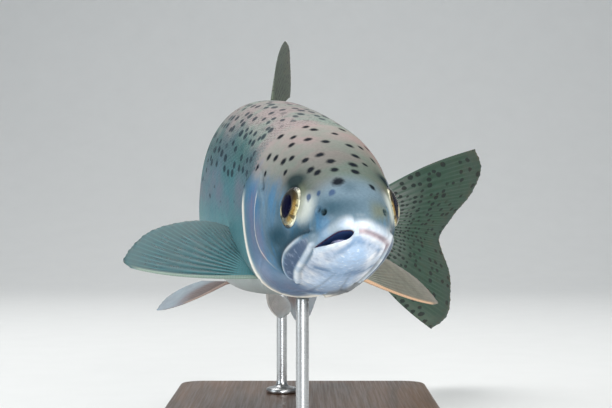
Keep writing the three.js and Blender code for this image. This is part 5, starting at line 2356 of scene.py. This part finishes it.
@dataclass(frozen=True)
class PlainFinishes:
    """The finishes of tongue, teeth, stand and floor."""

    walnut: tuple = (0.115, 0.052, 0.024)
    walnut_dark: tuple = (0.040, 0.018, 0.009)
    steel: tuple = (0.56, 0.57, 0.58)
    floor: tuple = (0.82, 0.83, 0.83)

    def flesh(self, mottle: NodeTree) -> Material:
        """The tongue: wet and bluish grey with a pink blush.

        Args:
            mottle: the shared mottle group.

        Returns:
            The material.
        """
        n = Paint("tongue_flesh", Roughness=0.3, Coat_Weight=0.6, Subsurface_Weight=0.15, **SOFT)
        soft, fine = n.group(mottle, Place=n.place(), Scale=420.0, Contrast=2.0)
        return n.set(Base_Color=n.mix(soft, (0.12, 0.15, 0.30), (0.34, 0.33, 0.48)),
                     Normal=n.bump(fine, 0.4, 0.0002))

    def ivory(self) -> Material:
        """The teeth."""
        n = Paint("tooth_ivory", Roughness=0.3, Coat_Weight=0.4)
        return n.set(Base_Color=n.mix(n.noise(n.place(), 1800.0, 2), (0.30, 0.28, 0.25), (0.46, 0.44, 0.40)))

    def wood(self) -> Material:
        """Oiled walnut with its grain along the board.

        Returns:
            The material.
        """
        n = Paint("walnut", Roughness=0.4, Coat_Weight=0.2, Coat_Roughness=0.25)
        place = n.place()
        warp = n.noise(n.scaled(place, (14.0, 2.2, 14.0)), 1.0, 3)
        bent = n.vector("ADD", n.scaled(place, (26.0, 1.6, 26.0)), n.scaled(warp, (1.9, 0.0, 1.9)))
        rings = n.noise(bent[0], 2.4, 5, 0.6)
        streak = n.noise(n.scaled(place, (900.0, 18.0, 900.0)), 1.0, 3)
        pores = n.ramp(n.noise(n.scaled(place, (1700.0, 60.0, 1700.0)), 1.0, 2), 0.60, 0.70)
        colour = n.layers(self.walnut_dark, (n.ramp(rings, 0.36, 0.64), self.walnut),
                          (n.times(streak, 0.4), (0.19, 0.095, 0.045)),
                          (n.times(pores, 0.7), (0.015, 0.008, 0.005)))
        return n.set(Base_Color=colour, Roughness=n.ramp(streak, 0.3, 0.7, (0.34, 0.5)),
                     Normal=n.bump(n.minus(n.times(streak, 0.4), pores), 0.4, 0.00012))

    def metal(self) -> Material:
        """Turned steel, brushed round the rod.

        Returns:
            The material.
        """
        n = Paint("brushed_steel", Roughness=0.3, Metallic=1.0)
        place = n.place()
        brushed = n.noise(n.scaled(place, (60.0, 60.0, 5200.0)), 1.0, 3)
        return n.set(Base_Color=n.mix(n.noise(place, 120.0, 3), (0.46, 0.47, 0.48), self.steel),
                     Roughness=n.ramp(brushed, 0.3, 0.7, (0.2, 0.38)), Normal=n.bump(brushed, 0.2, 0.00004))

    def paper(self) -> Material:
        """The plain pale floor and backdrop."""
        n = Paint("pale_floor", Roughness=0.75)
        return n.set(Base_Color=n.mix(n.noise(n.place(), 30.0, 3), (0.78, 0.79, 0.79), self.floor))


# ---------------------------------------------------------------- studio
@dataclass(frozen=True)
class Lamp:
    """A round soft box."""

    name: str
    place: Triple
    size: float
    power: float  # watts
    colour: Triple
    aim: Triple = (0.0, -0.1, 0.12)  # the trout

    def hang(self) -> None:
        """Puts the lamp in the scene."""
        lamp = bpy.data.lights.new(self.name, "AREA")
        lamp.shape = "DISK"
        lamp.size, lamp.energy, lamp.color = self.size, self.power, self.colour
        holder = bpy.data.objects.new(self.name, lamp)
        holder.location = self.place
        x, y, z = (float(one) for one in np.array(self.place) - np.array(self.aim))
        holder.rotation_euler = (math.atan2(math.hypot(x, y), z), 0.0, math.atan2(y, x) + math.pi / 2)
        bpy.context.scene.collection.objects.link(holder)


@dataclass
class Studio:
    """A pale floor that sweeps up behind, soft lights and the camera."""

    camera_place: tuple = (0.002, -0.8, 0.128)
    camera_tilt: float = 89.837
    lens: float = 88.2
    lamps: tuple = (
        Lamp("key", (0.55, -1.1, 0.62), 0.7, 5.4, (1.0, 0.965, 0.90)),
        Lamp("top", (-0.20, 0.35, 1.4), 1.4, 19.0, (1.0, 0.99, 0.97)),
        Lamp("side", (-1.2, -0.5, 0.30), 0.9, 4.4, (0.90, 0.97, 1.0)),
        Lamp("fill", (1.0, -0.9, 0.30), 0.9, 0.8, (0.92, 0.97, 1.0)),
        Lamp("low", (0.18, -1.35, 0.20), 0.5, 8.4, (0.94, 0.97, 1.0)),
        Lamp("wall", (0.0, 0.9, 1.9), 1.0, 5.0, (0.96, 0.98, 1.0), aim=(0.0, 1.9, 0.7)))
    sky_colour: Triple = (0.80, 0.86, 0.90)
    sky_strength: float = 0.22
    floor_front: float = -7.0
    floor_half_width: float = 8.0
    sweep_start: float = 1.3
    sweep_radius: float = 0.8
    wall_top: float = 2.6

    def build_floor(self, material: Material) -> None:
        """Makes the floor and its sweep.

        Args:
            material: its finish.
        """
        start, radius = self.sweep_start, self.sweep_radius
        profile = [(self.floor_front, 0.0), (-0.6, 0.0), (start, 0.0)]
        bends = np.radians(np.linspace(6, 90, 15))
        profile += [(start + radius * math.sin(a), radius * (1 - math.cos(a))) for a in bends]
        profile += [(start + radius, self.wall_top)]
        wide = self.floor_half_width
        points = [(x, y, z) for y, z in profile for x in (-wide, 0.0, wide)]
        floor = new_piece("floor", np.array(points), grid_faces(len(profile), 3), material)

    def build_lights(self) -> None:
        """Hangs the soft boxes and the pale surroundings."""
        for lamp in self.lamps:
            lamp.hang()
        world = bpy.data.worlds.new("surroundings")
        world.use_nodes = True
        sky = world.node_tree.nodes["Background"]
        sky.inputs["Color"].default_value = (*self.sky_colour, 1.0)
        sky.inputs["Strength"].default_value = self.sky_strength
        bpy.context.scene.world = world

    def build_camera(self) -> None:
        """Sets up the camera."""
        camera = bpy.data.cameras.new("camera")
        camera.lens, camera.sensor_width = self.lens, 36.0
        camera.clip_start, camera.clip_end = 0.01, 20.0
        holder = bpy.data.objects.new("camera", camera)
        holder.location = self.camera_place
        holder.rotation_euler = (math.radians(self.camera_tilt), 0.0, 0.0)
        bpy.context.scene.collection.objects.link(holder)
        bpy.context.scene.camera = holder
        bpy.context.scene.view_settings.view_transform = "Standard"


def fin_finishes() -> dict[str, FinFinish]:
    """The finishes of the fins.

    Returns:
        The finishes by name.
    """
    return {
        "pectoral": FinFinish("pectoral", web=(0.020, 0.098, 0.115), root=(0.036, 0.135, 0.145),
                              edge=(0.25, 0.33, 0.28), ray=(0.095, 0.26, 0.29), tip=(0.055, 0.15, 0.165),
                              clearness=0.26, edge_width=0.045, rayed=0.62),
        "far_pectoral": FinFinish("far_pectoral", web=(0.25, 0.24, 0.195), root=(0.19, 0.25, 0.22),
                                  edge=(0.68, 0.44, 0.28), ray=(0.31, 0.31, 0.26), tip=(0.36, 0.34, 0.30)),
        "pelvic": FinFinish("pelvic", web=(0.21, 0.16, 0.155), root=(0.32, 0.17, 0.12),
                            edge=(0.48, 0.36, 0.31), tip=(0.42, 0.52, 0.60), ray=(0.27, 0.23, 0.23),
                            edge_width=0.10, edge_fade=0.62, clearness=0.18, tip_start=0.66),
        # paler than the pelvic finish: partly the fin's own pale colour, partly painted light on a fin lying
        # in shade under the belly
        "under": FinFinish("under", web=(0.62, 0.62, 0.62), root=(0.42, 0.40, 0.37), edge=(0.86, 0.84, 0.82),
                           tip=(0.74, 0.82, 0.86), ray=(0.72, 0.72, 0.72), edge_width=0.12, edge_fade=1.0),
        "tail": FinFinish("tail", web=(0.036, 0.086, 0.058), root=(0.25, 0.285, 0.26),
                          edge=(0.075, 0.125, 0.095), tip=(0.045, 0.085, 0.07), ray=(0.068, 0.125, 0.092),
                          spots=1.0, clearness=0.12, rayed=0.7),
        "dorsal": FinFinish("dorsal", web=(0.080, 0.108, 0.074), root=(0.15, 0.17, 0.14),
                            edge=(0.11, 0.14, 0.10), tip=(0.13, 0.15, 0.12), ray=(0.13, 0.16, 0.12),
                            spots=1.0, clearness=0.18),
    }


def main() -> None:
    """Builds the trout, its stand and the studio, piece by piece."""
    logging.basicConfig(level=logging.INFO, format="%(message)s")
    studio = Studio()
    studio.build_camera()
    mottle = mottle_group()
    trout = TroutFinish()
    plain = PlainFinishes()
    markings = trout.markings()
    scatter, tubes = scatter_tree(), tube_tree()

    skin = Skin()
    skin.build(trout.skin(markings, mottle))
    Scales(skin.relief).build(scatter, trout.scales(markings))

    eye, gaze = Eye(), EyeFinish()
    ball, cornea = gaze.ball(), gaze.cornea()
    eye.build(Side.RIGHT, "eye_right", ball, cornea)
    eye.build(Side.LEFT, "eye_left", ball, cornea)
    MouthInside(skin.relief).build(scatter, plain.flesh(mottle), plain.ivory())

    finishes = fin_finishes()
    for kind, fins in all_fins().items():
        web, rays = finishes[kind].web_material(), finishes[kind].ray_material()
        for fin in fins:
            fin.build(tubes, web, rays)

    stand = Stand()
    stand.build_base(plain.wood())
    steel = plain.metal()
    stand.build_rod("rod_front", "stand_rod_front", steel)
    stand.build_rod("rod_rear", "stand_rod_rear", steel)
    studio.build_floor(plain.paper())
    studio.build_lights()

    log.info("scene ready")


if __name__ == "__main__":
    main()
